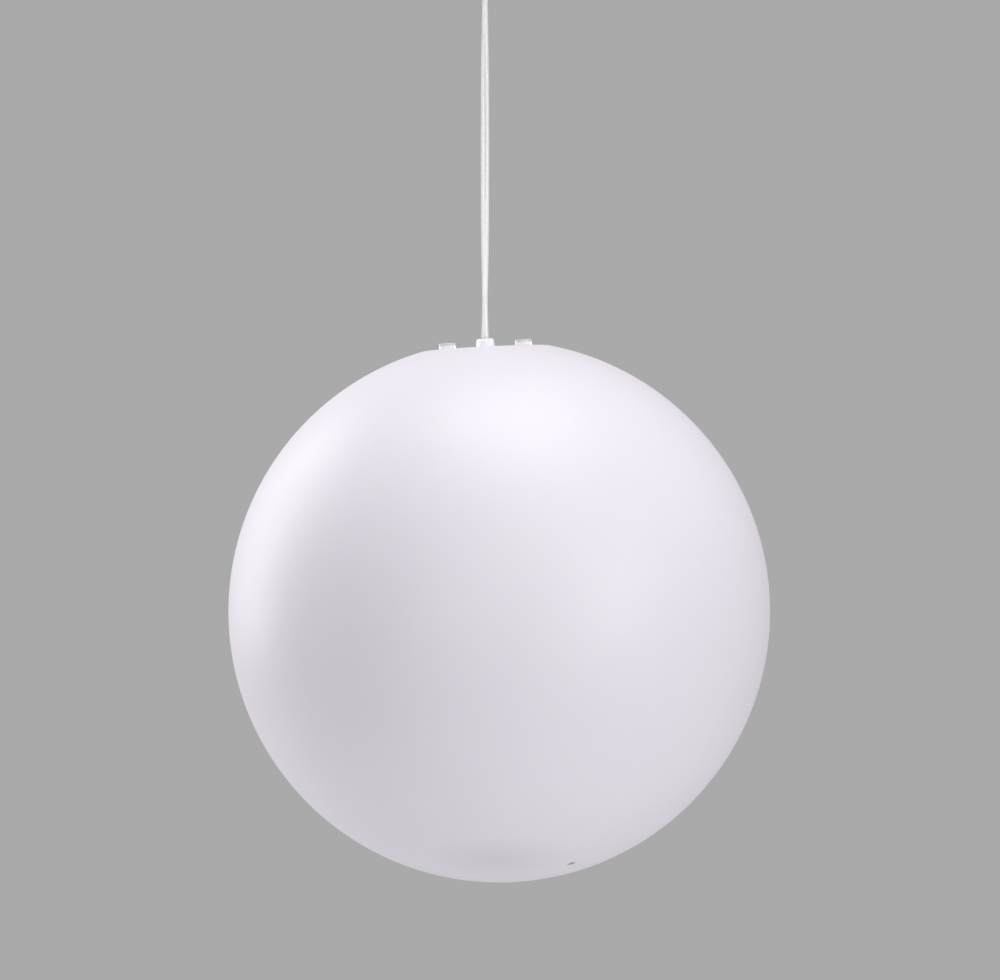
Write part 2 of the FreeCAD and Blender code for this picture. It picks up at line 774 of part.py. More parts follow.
def terminal_tubes():
    """Brass tube of each pole, tapped for its two screws."""
    made = []
    y, z = block_centre()
    for side in (-1, 1):
        x = side * block_pole_spacing / 2
        start = V(x, block_offset, z)
        tube = Part.makeCylinder(block_tube_diameter / 2, block_depth, start, V(0, 1, 0))
        tube_bore = block_tube_diameter / 2 - block_tube_wall
        tube = tube.cut(Part.makeCylinder(tube_bore, block_depth, start, V(0, 1, 0)))
        for end in (-1, 1):
            tube = tube.cut(cylinder(block_screw_diameter / 2, z, z + block_tube_diameter, x,
                                     y + end * block_screw_spacing / 2))
        made.append(tube)
    return joined(made)


def terminal_block_screws():
    """Slotted screws, each turned down on its wire."""
    made = []
    y, z = block_centre()
    low, high = z + core_radius, cup_inside + block_height - block_screw_sunk
    for side in (-1, 1):
        for end in (-1, 1):
            x, along = side * block_pole_spacing / 2, y + end * block_screw_spacing / 2
            screw = cylinder(block_screw_diameter / 2, low, high, x, along)
            slot = block(block_screw_diameter, grub_slot_width, high - grub_slot_depth, high, x, along)
            made.append(screw.cut(slot))
    return joined(made)


def ceiling_core(side):
    """One core, from the end of the sheath over the bracket's edge to the terminal block."""
    start = side * core_spacing / 2
    pole = side * block_pole_spacing / 2
    sheath_end = bridge_top + nipple_above_bridge + sheath_past_nipple
    over = sheath_end + core_bend_radius + 0.1
    past_edge = bracket_width / 2 + core_radius + core_over_bridge
    height = block_centre()[1]
    return rod([(start, 0, sheath_end), (start, 0, over), (pole, past_edge, over), (pole, past_edge, height),
                (pole, block_offset + block_depth / 2 - 0.5, height)], core_radius, core_bend_radius)


# ---- every piece, its shape and where it goes ------------------------------------------------
cup_bridge = bracket_drop - cup_height       # underside of the bridge, from the cup's underside
cup_nipple_low = cup_bridge - bracket_thickness - nipple_above_bridge

pieces = {
    "ceiling_bracket": (ceiling_bracket(), upright),
    "ceiling_cup": (ceiling_cup(), upright),
    "ceiling_nipple": (nipple(cup_nipple_low), at_cup),
    "ceiling_locknut": (locknut(cup_bridge + locknut_height), at_cup),
    "ceiling_gland_washer": (gland_washer(), at_cup),
    "ceiling_gland_seal": (gland_seal(), at_cup),
    "ceiling_gland_nut": (gland_nut(), at_cup),
    "ceiling_cord_tail": (cord_tail(cup_nipple_low - sheath_past_nipple), at_cup),
    "ceiling_core_live": (ceiling_core(1), upright),
    "ceiling_core_neutral": (ceiling_core(-1), upright),
    "terminal_block": (terminal_block(), upright),
    "terminal_tubes": (terminal_tubes(), upright),
    "terminal_block_screws": (terminal_block_screws(), upright),
    "cord_head": (cord_head(), upright),
    "cord_run": (cord_run(), upright),
    "cord_foot": (cord_foot(), upright),
    "lid_plate": (lid_plate(), hung),
    "lid_gasket": (lid_gasket(), hung),
    "lid_gland_washer": (gland_washer(), hung),
    "lid_gland_seal": (gland_seal(), hung),
    "lid_gland_nut": (gland_nut(), hung),
    "lid_nipple": (nipple(nipple_bottom), hung),
    "lid_plate_washer": (plate_washer(), hung),
    "lid_locknut": (locknut(lid_locknut_top), hung),
    "lid_cord_tail": (cord_tail(nipple_bottom - sheath_past_nipple), hung),
    "lamp_core_live": (lamp_core(1), hung),
    "lamp_core_neutral": (lamp_core(-1), hung),
    "holder_cap": (holder_cap(), hung),
    "holder_sleeve": (holder_sleeve(), hung),
    "contact_carrier": (contact_carrier(), hung),
    "holder_terminals": (holder_terminals(), hung),
    "holder_terminal_screws": (holder_terminal_screws(), hung),
    "screw_shell": (screw_shell(), hung),
    "centre_contact": (centre_contact(), hung),
    "globe_shell": (globe_shell(), hung),
    "lamp_tip": (lamp_tip(), hung),
    "lamp_insulator": (lamp_insulator(), hung),
    "lamp_shell": (lamp_shell(), hung),
    "lamp_housing": (lamp_housing(), hung),
    "lamp_diffuser": (lamp_diffuser(), hung),
    "led_post": (led_post(), hung),
    "led_chips": (led_chips(), hung),
    "driver_board": (driver_board(), hung),
}
for name, side in (("left", -1), ("right", 1)):
    pieces["thread_insert_" + name] = (thread_insert(side), hung)
    pieces["screw_washer_" + name] = (screw_washer(side), hung)
    pieces["cover_screw_" + name] = (cover_screw(side), hung)

os.makedirs("parts", exist_ok=True)
for name, (shape, place) in pieces.items():
    placed = place(shape)
    placed.exportStep("parts/" + name + ".step")
    print("%-24s %8.2f cm3  %d solid(s)  valid %s" % (
        name, placed.Volume / 1000, len(placed.Solids), placed.isValid()))

print("cover screws %.1f mm apart, lamp opening %.1f mm" % (2 * screw_offset, 2 * opening_radius))
print("pivots: swing %.1f, side swing %.1f, turn %.1f, tilt %.1f; flat at %.1f" % (
    swing_pivot, side_swing_pivot, run_bottom, tilt_pivot, flat_height))
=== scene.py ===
import json
import math
import bmesh
import bpy
import numpy as np
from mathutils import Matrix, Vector


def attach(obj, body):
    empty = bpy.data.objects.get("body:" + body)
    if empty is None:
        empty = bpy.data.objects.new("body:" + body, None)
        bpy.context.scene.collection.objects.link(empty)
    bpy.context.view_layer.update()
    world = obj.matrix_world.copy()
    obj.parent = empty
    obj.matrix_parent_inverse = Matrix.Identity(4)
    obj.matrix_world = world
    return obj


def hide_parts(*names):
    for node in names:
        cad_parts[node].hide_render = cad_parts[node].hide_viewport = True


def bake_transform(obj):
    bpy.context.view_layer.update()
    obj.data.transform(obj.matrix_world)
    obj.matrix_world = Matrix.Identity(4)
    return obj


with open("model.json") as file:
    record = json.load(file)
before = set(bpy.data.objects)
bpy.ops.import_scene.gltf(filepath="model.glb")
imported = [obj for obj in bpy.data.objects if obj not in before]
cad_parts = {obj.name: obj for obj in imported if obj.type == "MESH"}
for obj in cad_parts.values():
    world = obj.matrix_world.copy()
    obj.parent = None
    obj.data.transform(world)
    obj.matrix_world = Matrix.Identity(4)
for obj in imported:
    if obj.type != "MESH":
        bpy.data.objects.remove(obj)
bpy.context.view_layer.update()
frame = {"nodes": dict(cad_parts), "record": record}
nodes = frame["nodes"]
print("frame loaded:", len(nodes), "nodes")

# Lengths are in metres.  Hanging pieces are drawn on the globe's own axis, with z = 0 in its flat,
# and the gland of the ceiling cup with z = 0 on the cup's underside.
place = dict(cupHeight=0.032, glandMouth=0.007, freeCord=0.300, cordGap=0.0003,
             hangAngle=math.radians(-3.0))
tiltPivot = -(place["cupHeight"] + place["glandMouth"] + place["freeCord"] - place["cordGap"])
flatHeight = tiltPivot - place["cordGap"] - place["glandMouth"]


def straight(points):
    # for pieces that are drawn in their place: x' = x, y' = y, z' = z
    return points


def hung(points):
    # turn about Y at the foot of the cord: x' = x cos + dz sin, z' = -x sin + dz cos
    c, s = math.cos(place["hangAngle"]), math.sin(place["hangAngle"])
    x, y, dz = points[..., 0], points[..., 1], points[..., 2] + flatHeight - tiltPivot
    return np.stack([x * c + dz * s, y, dz * c - x * s + tiltPivot], axis=-1)


def atCup(points):
    # half a turn about X, then down to the cup's underside: y' = -y, z' = -z - cup height
    return np.stack([points[..., 0], -points[..., 1], -points[..., 2] - place["cupHeight"]], axis=-1)


# Surfaces, with their angles in degrees.
surface = dict(sharpAngle=32.0, arcStep=12.0, leastSteps=2, mergeWithin=2e-7, emptyWithin=1e-8)


def meshPiece(name, vertices, faces, material, sharpAngle=surface["sharpAngle"]):
    # merges seams and poles, turns faces outwards and marks the edges sharper than the angle
    mesh = bpy.data.meshes.new(name)
    mesh.from_pydata(vertices.tolist(), [], faces.tolist())
    soft = bmesh.new()
    soft.from_mesh(mesh)
    bmesh.ops.remove_doubles(soft, verts=soft.verts, dist=surface["mergeWithin"])
    bmesh.ops.dissolve_degenerate(soft, edges=soft.edges, dist=surface["emptyWithin"])
    bmesh.ops.recalc_face_normals(soft, faces=soft.faces)
    soft.to_mesh(mesh)
    soft.free()
    mesh.shade_smooth()
    mesh.set_sharp_from_angle(angle=math.radians(sharpAngle))
    piece = bpy.data.objects.new(name, mesh)
    bpy.context.scene.collection.objects.link(piece)
    mesh.materials.append(material)
    return piece


def gridFaces(rows, columns, closeRows):
    # quads between neighbouring rows and columns; columns always close on themselves
    lastRow = rows if closeRows else rows - 1
    i, j = np.meshgrid(np.arange(lastRow), np.arange(columns), indexing="ij")
    i2, j2 = (i + 1) % rows, (j + 1) % columns
    corners = [i * columns + j, i * columns + j2, i2 * columns + j2, i2 * columns + j]
    return np.stack(corners, axis=-1).reshape(-1, 4)


def gridPiece(name, grid, material, closeRows=False, sharpAngle=surface["sharpAngle"]):
    # a mesh from a grid of points, rows by columns by (x, y, z)
    rows, columns = grid.shape[:2]
    return meshPiece(name, grid.reshape(-1, 3), gridFaces(rows, columns, closeRows), material, sharpAngle)


def outline(corners):
    # a closed line of (radius, z) corners; a third value gives a corner its rounding by a tangent arc
    # that starts rounding / tan(half) from the corner, about a centre rounding / sin(half) away
    line = []
    points = np.array([c[:2] for c in corners], float)
    for k, corner in enumerate(corners):
        rounding = corner[2] if len(corner) > 2 else 0.0
        point = points[k]
        if rounding <= 0:
            line.append(point[None])
            continue
        back, ahead = points[k - 1] - point, points[(k + 1) % len(corners)] - point
        back, ahead = back / np.linalg.norm(back), ahead / np.linalg.norm(ahead)
        half = math.acos(np.clip(back @ ahead, -1, 1)) / 2
        middle = (back + ahead) / np.linalg.norm(back + ahead)
        centre = point + middle * rounding / math.sin(half)
        start, end = point + back * rounding / math.tan(half), point + ahead * rounding / math.tan(half)
        a0 = math.atan2(*(start - centre)[::-1])
        turn = (math.atan2(*(end - centre)[::-1]) - a0 + math.pi) % (2 * math.pi) - math.pi
        steps = max(surface["leastSteps"], int(math.degrees(abs(turn)) / surface["arcStep"]) + 1)
        a = a0 + turn * np.linspace(0, 1, steps + 1)
        line.append(centre + rounding * np.stack([np.cos(a), np.sin(a)], axis=-1))
    return np.concatenate(line)


def turnedPiece(name, line, segments, material, where, offsetX=0.0, dent=None):
    # a closed outline carried round the axis: x = r cos a + offset, y = r sin a; dent(a, r, z) takes from r
    a = np.linspace(0, 2 * math.pi, segments, endpoint=False)[None, :]
    r, z = np.broadcast_arrays(line[:, :1], line[:, 1:])
    r, z = np.repeat(r, segments, axis=1), np.repeat(z, segments, axis=1)
    if dent is not None:
        r = r - dent(np.broadcast_to(a, r.shape), r, z)
    grid = np.stack([r * np.cos(a) + offsetX, r * np.sin(a), z], axis=-1)
    return gridPiece(name, where(grid), material, closeRows=True)


def threadDepth(a, z, pitch, depth, low, high):
    # a round-bottomed helix: depth (1 + cos(2 pi z / pitch - a)) / 2, fading out at both ends
    phase = 2 * math.pi * z / pitch - a
    fade = np.clip((z - low) / pitch, 0, 1) * np.clip((high - z) / pitch, 0, 1)
    return depth * fade * 0.5 * (1 + np.cos(phase))


def cutWith(piece, cutters):
    # takes the cutters out of the piece and bakes the result
    for cutter in cutters:
        change = piece.modifiers.new("cut", "BOOLEAN")
        change.operation, change.solver, change.object = "DIFFERENCE", "EXACT", cutter
    shaped = bpy.data.meshes.new_from_object(piece.evaluated_get(bpy.context.evaluated_depsgraph_get()))
    piece.modifiers.clear()
    old, piece.data = piece.data, shaped
    bpy.data.meshes.remove(old)
    for cutter in cutters:
        bpy.data.objects.remove(cutter)


def secondFinish(piece, sharpAngle, outside, inside, chosen):
    # smooths a piece again after its cuts, and gives its chosen faces the second finish
    piece.data.shade_smooth()
    piece.data.set_sharp_from_angle(angle=math.radians(sharpAngle))
    piece.data.materials.clear()
    piece.data.materials.append(outside)
    piece.data.materials.append(inside)
    piece.data.polygons.foreach_set("material_index", chosen.astype(np.int32))


def faceMiddles(piece):
    # the middle point of every face, one row each
    middles = np.zeros(len(piece.data.polygons) * 3, np.float32)
    piece.data.polygons.foreach_get("center", middles)
    return middles.reshape(-1, 3)


def cylinderTool(radius, low, high, offsetX, where, segments):
    # a closed cylinder to cut with: x = r cos a + offset, y = r sin a
    line = np.array([[0, low], [radius, low], [radius, high], [0, high]])
    a = np.linspace(0, 2 * math.pi, segments, endpoint=False)[None, :]
    r, z = line[:, :1], line[:, 1:]
    grid = np.stack([r * np.cos(a) + offsetX, r * np.sin(a), z + 0 * a], axis=-1)
    return gridPiece("tool", where(grid), toolMaterial)


# Effects that several materials share.
skinLook = dict(peelScale=900.0, cloudScale=9.0, peelDetail=2.0, cloudDetail=4.0, cloudRoughness=0.55,
                cloudHeight=0.6, cloudLow=0.3, cloudHigh=0.7, smoother=0.05, rougher=0.06,
                bumpDistance=0.0001)
metalLook = dict(along=(1.0, 1.0, 40.0), scale=60.0, scratchDetail=4.0, scratchRoughness=0.7, scratchLow=0.3,
                 scratchHigh=0.7, oxideDetail=3.0, oxideRoughness=0.6, oxideLow=0.5, oxideHigh=0.72,
                 smoother=0.08, rougher=0.12, bumpDistance=0.00003, bumpStrength=0.25)


def newGroup(name, inputs, outputs):
    # an empty node group with (name, kind, first value) inputs and (name, kind) outputs
    group = bpy.data.node_groups.new(name, "ShaderNodeTree")
    for label, kind, value in inputs:
        socket = group.interface.new_socket(name=label, in_out="INPUT", socket_type=kind)
        if value is not None:
            socket.default_value = value
    for label, kind in outputs:
        group.interface.new_socket(name=label, in_out="OUTPUT", socket_type=kind)
    inside = group.nodes.new("NodeGroupInput")
    result = group.nodes.new("NodeGroupOutput")
    return group, inside, result


def mathNode(tree, operation, first, second):
    # operation(first, second), where each is a number or the output of another node
    made = tree.nodes.new("ShaderNodeMath")
    made.operation = operation
    for socket, value in zip(made.inputs, (first, second)):
        if isinstance(value, (int, float)):
            socket.default_value = value
        else:
            tree.links.new(value, socket)
    return made.outputs[0]


def noiseNode(tree, vector, scale, detail, roughness=0.5):
    # layered noise from 0 to 1 at vector * scale, where the scale is another node's output
    made = tree.nodes.new("ShaderNodeTexNoise")
    made.inputs["Detail"].default_value = detail
    made.inputs["Roughness"].default_value = roughness
    tree.links.new(vector, made.inputs["Vector"])
    tree.links.new(scale, made.inputs["Scale"])
    return made.outputs["Fac"]


def spread(tree, value, low, high, toLow=0.0, toHigh=1.0):
    # toLow + (toHigh - toLow) (value - low) / (high - low), held between its two ends
    made = tree.nodes.new("ShaderNodeMapRange")
    for socket, number in zip(made.inputs[1:5], (low, high, toLow, toHigh)):
        socket.default_value = number
    tree.links.new(value, made.inputs[0])
    return made.outputs[0]


def buildMouldedSkin():
    # the faint orange peel of a moulded surface, and slow clouds in its tone: height = peel + share clouds
    look = skinLook
    group, inside, result = newGroup(
        "mouldedSkin",
        [("Vector", "NodeSocketVector", None), ("Peel Scale", "NodeSocketFloat", look["peelScale"]),
         ("Cloud Scale", "NodeSocketFloat", look["cloudScale"])],
        [("Height", "NodeSocketFloat"), ("Clouds", "NodeSocketFloat")])
    vector, cloudScale = inside.outputs["Vector"], inside.outputs["Cloud Scale"]
    peel = noiseNode(group, vector, inside.outputs["Peel Scale"], look["peelDetail"])
    clouds = noiseNode(group, vector, cloudScale, look["cloudDetail"], look["cloudRoughness"])
    height = mathNode(group, "ADD", peel, mathNode(group, "MULTIPLY", clouds, look["cloudHeight"]))
    group.links.new(height, result.inputs["Height"])
    group.links.new(spread(group, clouds, look["cloudLow"], look["cloudHigh"]), result.inputs["Clouds"])
    return group


def buildWorkedMetal():
    # fine scratches drawn out along one direction, and blotches of dull oxide
    look = metalLook
    group, inside, result = newGroup(
        "workedMetal",
        [("Vector", "NodeSocketVector", None), ("Along", "NodeSocketVector", look["along"]),
         ("Scale", "NodeSocketFloat", look["scale"])],
        [("Scratches", "NodeSocketFloat"), ("Oxide", "NodeSocketFloat")])
    stretched = group.nodes.new("ShaderNodeVectorMath")
    stretched.operation = "MULTIPLY"
    group.links.new(inside.outputs["Vector"], stretched.inputs[0])
    group.links.new(inside.outputs["Along"], stretched.inputs[1])
    scale = inside.outputs["Scale"]
    scratches = noiseNode(group, stretched.outputs[0], scale, look["scratchDetail"], look["scratchRoughness"])
    oxide = noiseNode(group, inside.outputs["Vector"], scale, look["oxideDetail"], look["oxideRoughness"])
    scratched = spread(group, scratches, look["scratchLow"], look["scratchHigh"])
    group.links.new(scratched, result.inputs["Scratches"])
    group.links.new(spread(group, oxide, look["oxideLow"], look["oxideHigh"]), result.inputs["Oxide"])
    return group


mouldedSkin = buildMouldedSkin()
workedMetal = buildWorkedMetal()


# Materials.  Each has a plain shader of its own and its own use of the shared effects.
def newMaterial(name, color, roughness, **sockets):
    # a plain surface with its node tree and shader; further sockets are set by their labels
    material = bpy.data.materials.new(name)
    material.use_nodes = True
    shader = material.node_tree.nodes["Principled BSDF"]
    shader.inputs["Base Color"].default_value = (*color, 1.0)
    shader.inputs["Roughness"].default_value = roughness
    for label, value in sockets.items():
        shader.inputs[label].default_value = value
    return material, material.node_tree, shader


def objectVector(tree, centre=(0.0, 0.0, 0.0)):
    # object coordinates, point - centre
    coordinates = tree.nodes.new("ShaderNodeTexCoord")
    mapping = tree.nodes.new("ShaderNodeMapping")
    mapping.inputs["Location"].default_value = [-v for v in centre]
    tree.links.new(coordinates.outputs["Object"], mapping.inputs["Vector"])
    return mapping.outputs["Vector"]


def groupNode(tree, group, vector, **values):
    # one use of a shared effect, with an underscore for each space in a label
    made = tree.nodes.new("ShaderNodeGroup")
    made.node_tree = group
    tree.links.new(vector, made.inputs["Vector"])
    for label, value in values.items():
        made.inputs[label.replace("_", " ")].default_value = value
    return made


def mixColors(tree, mask, first, second):
    # first (1 - mask) + second mask
    made = tree.nodes.new("ShaderNodeMix")
    made.data_type = "RGBA"
    tree.links.new(mask, made.inputs[0])
    for socket, value in ((made.inputs[6], first), (made.inputs[7], second)):
        if isinstance(value, tuple):
            socket.default_value = (*value, 1.0)
        else:
            tree.links.new(value, socket)
    return made.outputs[2]


def addBump(tree, shader, height, distance, strength):
    # tilts the shader's normal by the slope of height * distance
    bump = tree.nodes.new("ShaderNodeBump")
    bump.inputs["Distance"].default_value = distance
    bump.inputs["Strength"].default_value = strength
    tree.links.new(height, bump.inputs["Height"])
    tree.links.new(bump.outputs["Normal"], shader.inputs["Normal"])


def glowing(color, strength):
    # sockets for a surface that gives out color * strength
    return {"Emission Color": (*color, 1.0), "Emission Strength": strength}


def mouldedPlastic(name, color, shade, roughness, peelScale=900.0, cloudScale=30.0, bumpStrength=0.12,
                   **sockets):
    # colour runs from color to shade and roughness from smoother to rougher with the clouds of the skin
    material, tree, shader = newMaterial(name, color, roughness, **sockets)
    skin = groupNode(tree, mouldedSkin, objectVector(tree), Peel_Scale=peelScale, Cloud_Scale=cloudScale)
    clouds = skin.outputs["Clouds"]
    tree.links.new(mixColors(tree, clouds, color, shade), shader.inputs["Base Color"])
    rough = spread(tree, clouds, 0, 1, roughness - skinLook["smoother"], roughness + skinLook["rougher"])
    tree.links.new(rough, shader.inputs["Roughness"])
    addBump(tree, shader, skin.outputs["Height"], skinLook["bumpDistance"], bumpStrength)
    return material


def metal(name, color, dull, roughness, along=metalLook["along"], scale=metalLook["scale"], metallic=1.0,
          **sockets):
    # dull where oxide lies, and rougher along the scratches
    material, tree, shader = newMaterial(name, color, roughness, Metallic=metallic, **sockets)
    worked = groupNode(tree, workedMetal, objectVector(tree), Along=along, Scale=scale)
    tree.links.new(mixColors(tree, worked.outputs["Oxide"], color, dull), shader.inputs["Base Color"])
    scratches = worked.outputs["Scratches"]
    rough = spread(tree, scratches, 0, 1, roughness - metalLook["smoother"], roughness + metalLook["rougher"])
    tree.links.new(rough, shader.inputs["Roughness"])
    addBump(tree, shader, scratches, metalLook["bumpDistance"], metalLook["bumpStrength"])
    return material


# Clear plastic that has gone slightly milky outdoors and scatters some of the light inside it.
milky = dict(color=(0.96, 0.955, 0.98), roughness=0.10, ior=1.49, transmission=0.50,
             scatterGlow=(0.97, 0.95, 1.0), scatterGlowStrength=0.15, peelScale=500.0, cloudScale=200.0,
             smoothest=0.08, roughest=0.18, bumpDistance=0.00005, bumpStrength=0.2)


def buildMilkyClear():
    # half of the light goes through, and a painted glow stands for the light scattered inside
    material, tree, shader = newMaterial("clearHardPlastic", milky["color"], milky["roughness"],
                                         IOR=milky["ior"])
    shader.inputs["Transmission Weight"].default_value = milky["transmission"]
    # painted light: the clear plastic glows a little, though it is no lamp
    shader.inputs["Emission Color"].default_value = (*milky["scatterGlow"], 1.0)
    shader.inputs["Emission Strength"].default_value = milky["scatterGlowStrength"]
    skin = groupNode(tree, mouldedSkin, objectVector(tree), Peel_Scale=milky["peelScale"],
                     Cloud_Scale=milky["cloudScale"])
    rough = spread(tree, skin.outputs["Clouds"], 0, 1, milky["smoothest"], milky["roughest"])
    tree.links.new(rough, shader.inputs["Roughness"])
    addBump(tree, shader, skin.outputs["Height"], milky["bumpDistance"], milky["bumpStrength"])
    return material


# The globe: white moulded polyethylene, faintly lilac, with a faint glow for light that comes through it.
# The grey patch under the globe's foot is painted shade; the drain hole's dark colour is dirt and painted
# shade.
opal = dict(color=(0.80, 0.765, 0.825), shade=(0.775, 0.735, 0.805), roughness=0.42, smoother=0.03,
            rougher=0.05, ior=1.5, peelScale=420.0, cloudScale=7.0, bumpDistance=0.0002, bumpStrength=0.05,
            glow=(0.93, 0.85, 0.96), glowStrength=0.10, insideStrength=0.06, paintedShade=(0.64, 0.62, 0.64),
            paintedShadePlace=(0.001, -0.090, -0.178), paintedShadeSize=(0.042, 0.040, 0.018), paintedShadeFull=0.1,
            paintedShadeEnd=1.3, paintedShadeMost=0.65, drainDirtAndShade=(0.34, 0.33, 0.34), drainDirtAndShadeFull=0.0022, drainDirtAndShadeEnd=0.0046,
            drainDirtAndShadeMost=0.7)
ballCentre = np.array([0.0, 0.0, -0.1947])  # on the globe's axis, under its flat
# The small drain hole near the globe's foot, by its angles round the centre: x = sin(polar) cos(bearing),
# y = sin(polar) sin(bearing), z = -cos(polar).
drain = dict(radius=0.0015, polar=math.radians(22.3), bearing=math.radians(-55.7), middle=0.1985, past=0.009,
             segments=40)
drainOut = np.array([math.sin(drain["polar"]) * math.cos(drain["bearing"]),
                     math.sin(drain["polar"]) * math.sin(drain["bearing"]), -math.cos(drain["polar"])])


def lengthFrom(tree, vector, size=None):
    # |vector|, or |vector / size| where a size is given
    if size is not None:
        stretched = tree.nodes.new("ShaderNodeVectorMath")
        stretched.operation = "DIVIDE"
        stretched.inputs[1].default_value = size
        tree.links.new(vector, stretched.inputs[0])
        vector = stretched.outputs[0]
    made = tree.nodes.new("ShaderNodeVectorMath")
    made.operation = "LENGTH"
    tree.links.new(vector, made.inputs[0])
    return made.outputs["Value"]


def buildOpal(name, glowStrength):
    # clouds between color and shade, then the painted shade under the globe and the drain's dirt and painted
    # shade laid over them by their masks
    material, tree, shader = newMaterial(name, opal["color"], opal["roughness"], IOR=opal["ior"])
    skin = groupNode(tree, mouldedSkin, objectVector(tree), Peel_Scale=opal["peelScale"],
                     Cloud_Scale=opal["cloudScale"])
    clouds = skin.outputs["Clouds"]
    tone = mixColors(tree, clouds, opal["color"], opal["shade"])
    # painted shade: a soft grey patch under the globe that fades with the distance from a point near its foot
    patch = objectVector(tree, hung(ballCentre) + np.array(opal["paintedShadePlace"]))
    paintedShade = spread(tree, lengthFrom(tree, patch, opal["paintedShadeSize"]), opal["paintedShadeFull"], opal["paintedShadeEnd"],
                    opal["paintedShadeMost"], 0.0)
    # dirt and painted shade lie in the drain hole, which gives out no glow there, and thin out round its
    # mouth
    hole = objectVector(tree, hung(ballCentre + drainOut * drain["middle"]))
    drainDirtAndShadeMask = spread(tree, lengthFrom(tree, hole), opal["drainDirtAndShadeFull"], opal["drainDirtAndShadeEnd"], opal["drainDirtAndShadeMost"], 0.0)
    withPaintedShade = mixColors(tree, paintedShade, tone, opal["paintedShade"])
    tree.links.new(mixColors(tree, drainDirtAndShadeMask, withPaintedShade, opal["drainDirtAndShade"]), shader.inputs["Base Color"])
    tree.links.new(mixColors(tree, drainDirtAndShadeMask, opal["glow"], (0.0, 0.0, 0.0)), shader.inputs["Emission Color"])
    smoothest, roughest = opal["roughness"] - opal["smoother"], opal["roughness"] + opal["rougher"]
    rough = spread(tree, clouds, 0, 1, smoothest, roughest)
    tree.links.new(rough, shader.inputs["Roughness"])
    addBump(tree, shader, skin.outputs["Height"], opal["bumpDistance"], opal["bumpStrength"])
    shader.inputs["Emission Strength"].default_value = glowStrength
    return material


opalMaterial = buildOpal("opalPolyethylene", opal["glowStrength"])
opalInside = buildOpal("opalInside", opal["insideStrength"])
toolMaterial = bpy.data.materials.new("tool")
clearHard = buildMilkyClear()
# The screws' slots are dark and opaque: dust and painted shade.
slotDustAndShade = mouldedPlastic("slotDustAndShade", (0.14, 0.135, 0.165), (0.25, 0.24, 0.28), 0.8, 2200.0, 500.0, 0.4)
white = (1.0, 1.0, 1.0)
# painted light: the cord's sheath and its strands glow a little to look brighter, though they are no lamp
clearCord = mouldedPlastic("clearCordSheath", (0.98, 0.98, 0.99), (0.94, 0.94, 0.96), 0.16, 700.0, 160.0, 0.2,
                           Alpha=0.38, **glowing(white, 0.12))
tinned = metal("tinnedStrands", (0.98, 0.98, 0.99), (0.74, 0.74, 0.76), 0.42, along=(1.0, 1.0, 1.0),
               scale=900.0, metallic=0.30, **glowing(white, 0.12))
zinc = metal("zincPlatedSteel", (0.66, 0.67, 0.69), (0.48, 0.49, 0.51), 0.32)
brass = metal("turnedBrass", (0.78, 0.60, 0.28), (0.52, 0.38, 0.16), 0.28)
nickel = metal("nickelledShell", (0.72, 0.70, 0.66), (0.52, 0.50, 0.46), 0.24)
aluminium = metal("extrudedAluminium", (0.80, 0.81, 0.82), (0.62, 0.63, 0.65), 0.36)
# name, colour, shade, roughness, then the scales of the peel and the clouds and the strength of the bump
slotMaterials = {
    "opal_polyethylene": opalMaterial,
    "lid_white": mouldedPlastic("lidPlastic", (0.80, 0.785, 0.82), (0.76, 0.745, 0.78), 0.42),
    "cup_white": mouldedPlastic("cupPlastic", (0.82, 0.82, 0.82), (0.78, 0.78, 0.78), 0.34),
    "clear_plastic": clearHard,
    "cord_clear": mouldedPlastic("coreInsulation", (0.70, 0.70, 0.71), (0.60, 0.60, 0.61), 0.25, 1500.0,
                                 300.0),
    "seal_rubber": mouldedPlastic("sealRubber", (0.62, 0.62, 0.63), (0.54, 0.54, 0.55), 0.62, 1500.0,
                                  120.0, 0.3),
    "zinc_steel": zinc,
    "brass": brass,
    "block_plastic": mouldedPlastic("blockPlastic", (0.76, 0.75, 0.69), (0.70, 0.69, 0.63), 0.40),
    "holder_white": mouldedPlastic("holderPlastic", (0.78, 0.78, 0.76), (0.73, 0.73, 0.71), 0.38, 700.0),
    "steatite": mouldedPlastic("steatite", (0.78, 0.75, 0.68), (0.70, 0.66, 0.58), 0.55, 2200.0, 90.0, 0.35),
    "solder_brass": metal("solderedTip", (0.70, 0.68, 0.62), (0.45, 0.43, 0.38), 0.38),
    "black_glass": mouldedPlastic("blackGlass", (0.015, 0.015, 0.02), (0.03, 0.03, 0.035), 0.10, 300.0,
                                  60.0, 0.05),
    "nickel_shell": nickel,
    "lamp_white": mouldedPlastic("lampHousing", (0.82, 0.82, 0.81), (0.77, 0.77, 0.76), 0.33),
    "lamp_opal": mouldedPlastic("lampDiffuser", (0.86, 0.84, 0.80), (0.82, 0.80, 0.76), 0.38, 900.0, 25.0,
                                0.06, **glowing((1.0, 0.93, 0.82), 0.35)),
    "led_aluminium": aluminium,
    "led_phosphor": mouldedPlastic("ledPhosphor", (0.85, 0.66, 0.12), (0.78, 0.58, 0.10), 0.35, 2500.0, 400.0,
                                   **glowing((1.0, 0.85, 0.5), 0.8)),
    "board_green": mouldedPlastic("circuitBoard", (0.02, 0.16, 0.06), (0.03, 0.22, 0.09), 0.38, 1800.0, 350.0,
                                  0.3),
}
for part in frame["record"]["subparts"]:
    mesh = nodes[part["node"]].data
    mesh.materials.clear()
    mesh.materials.append(slotMaterials[part["material_slot"]])
print("materials ready:", len(bpy.data.materials))


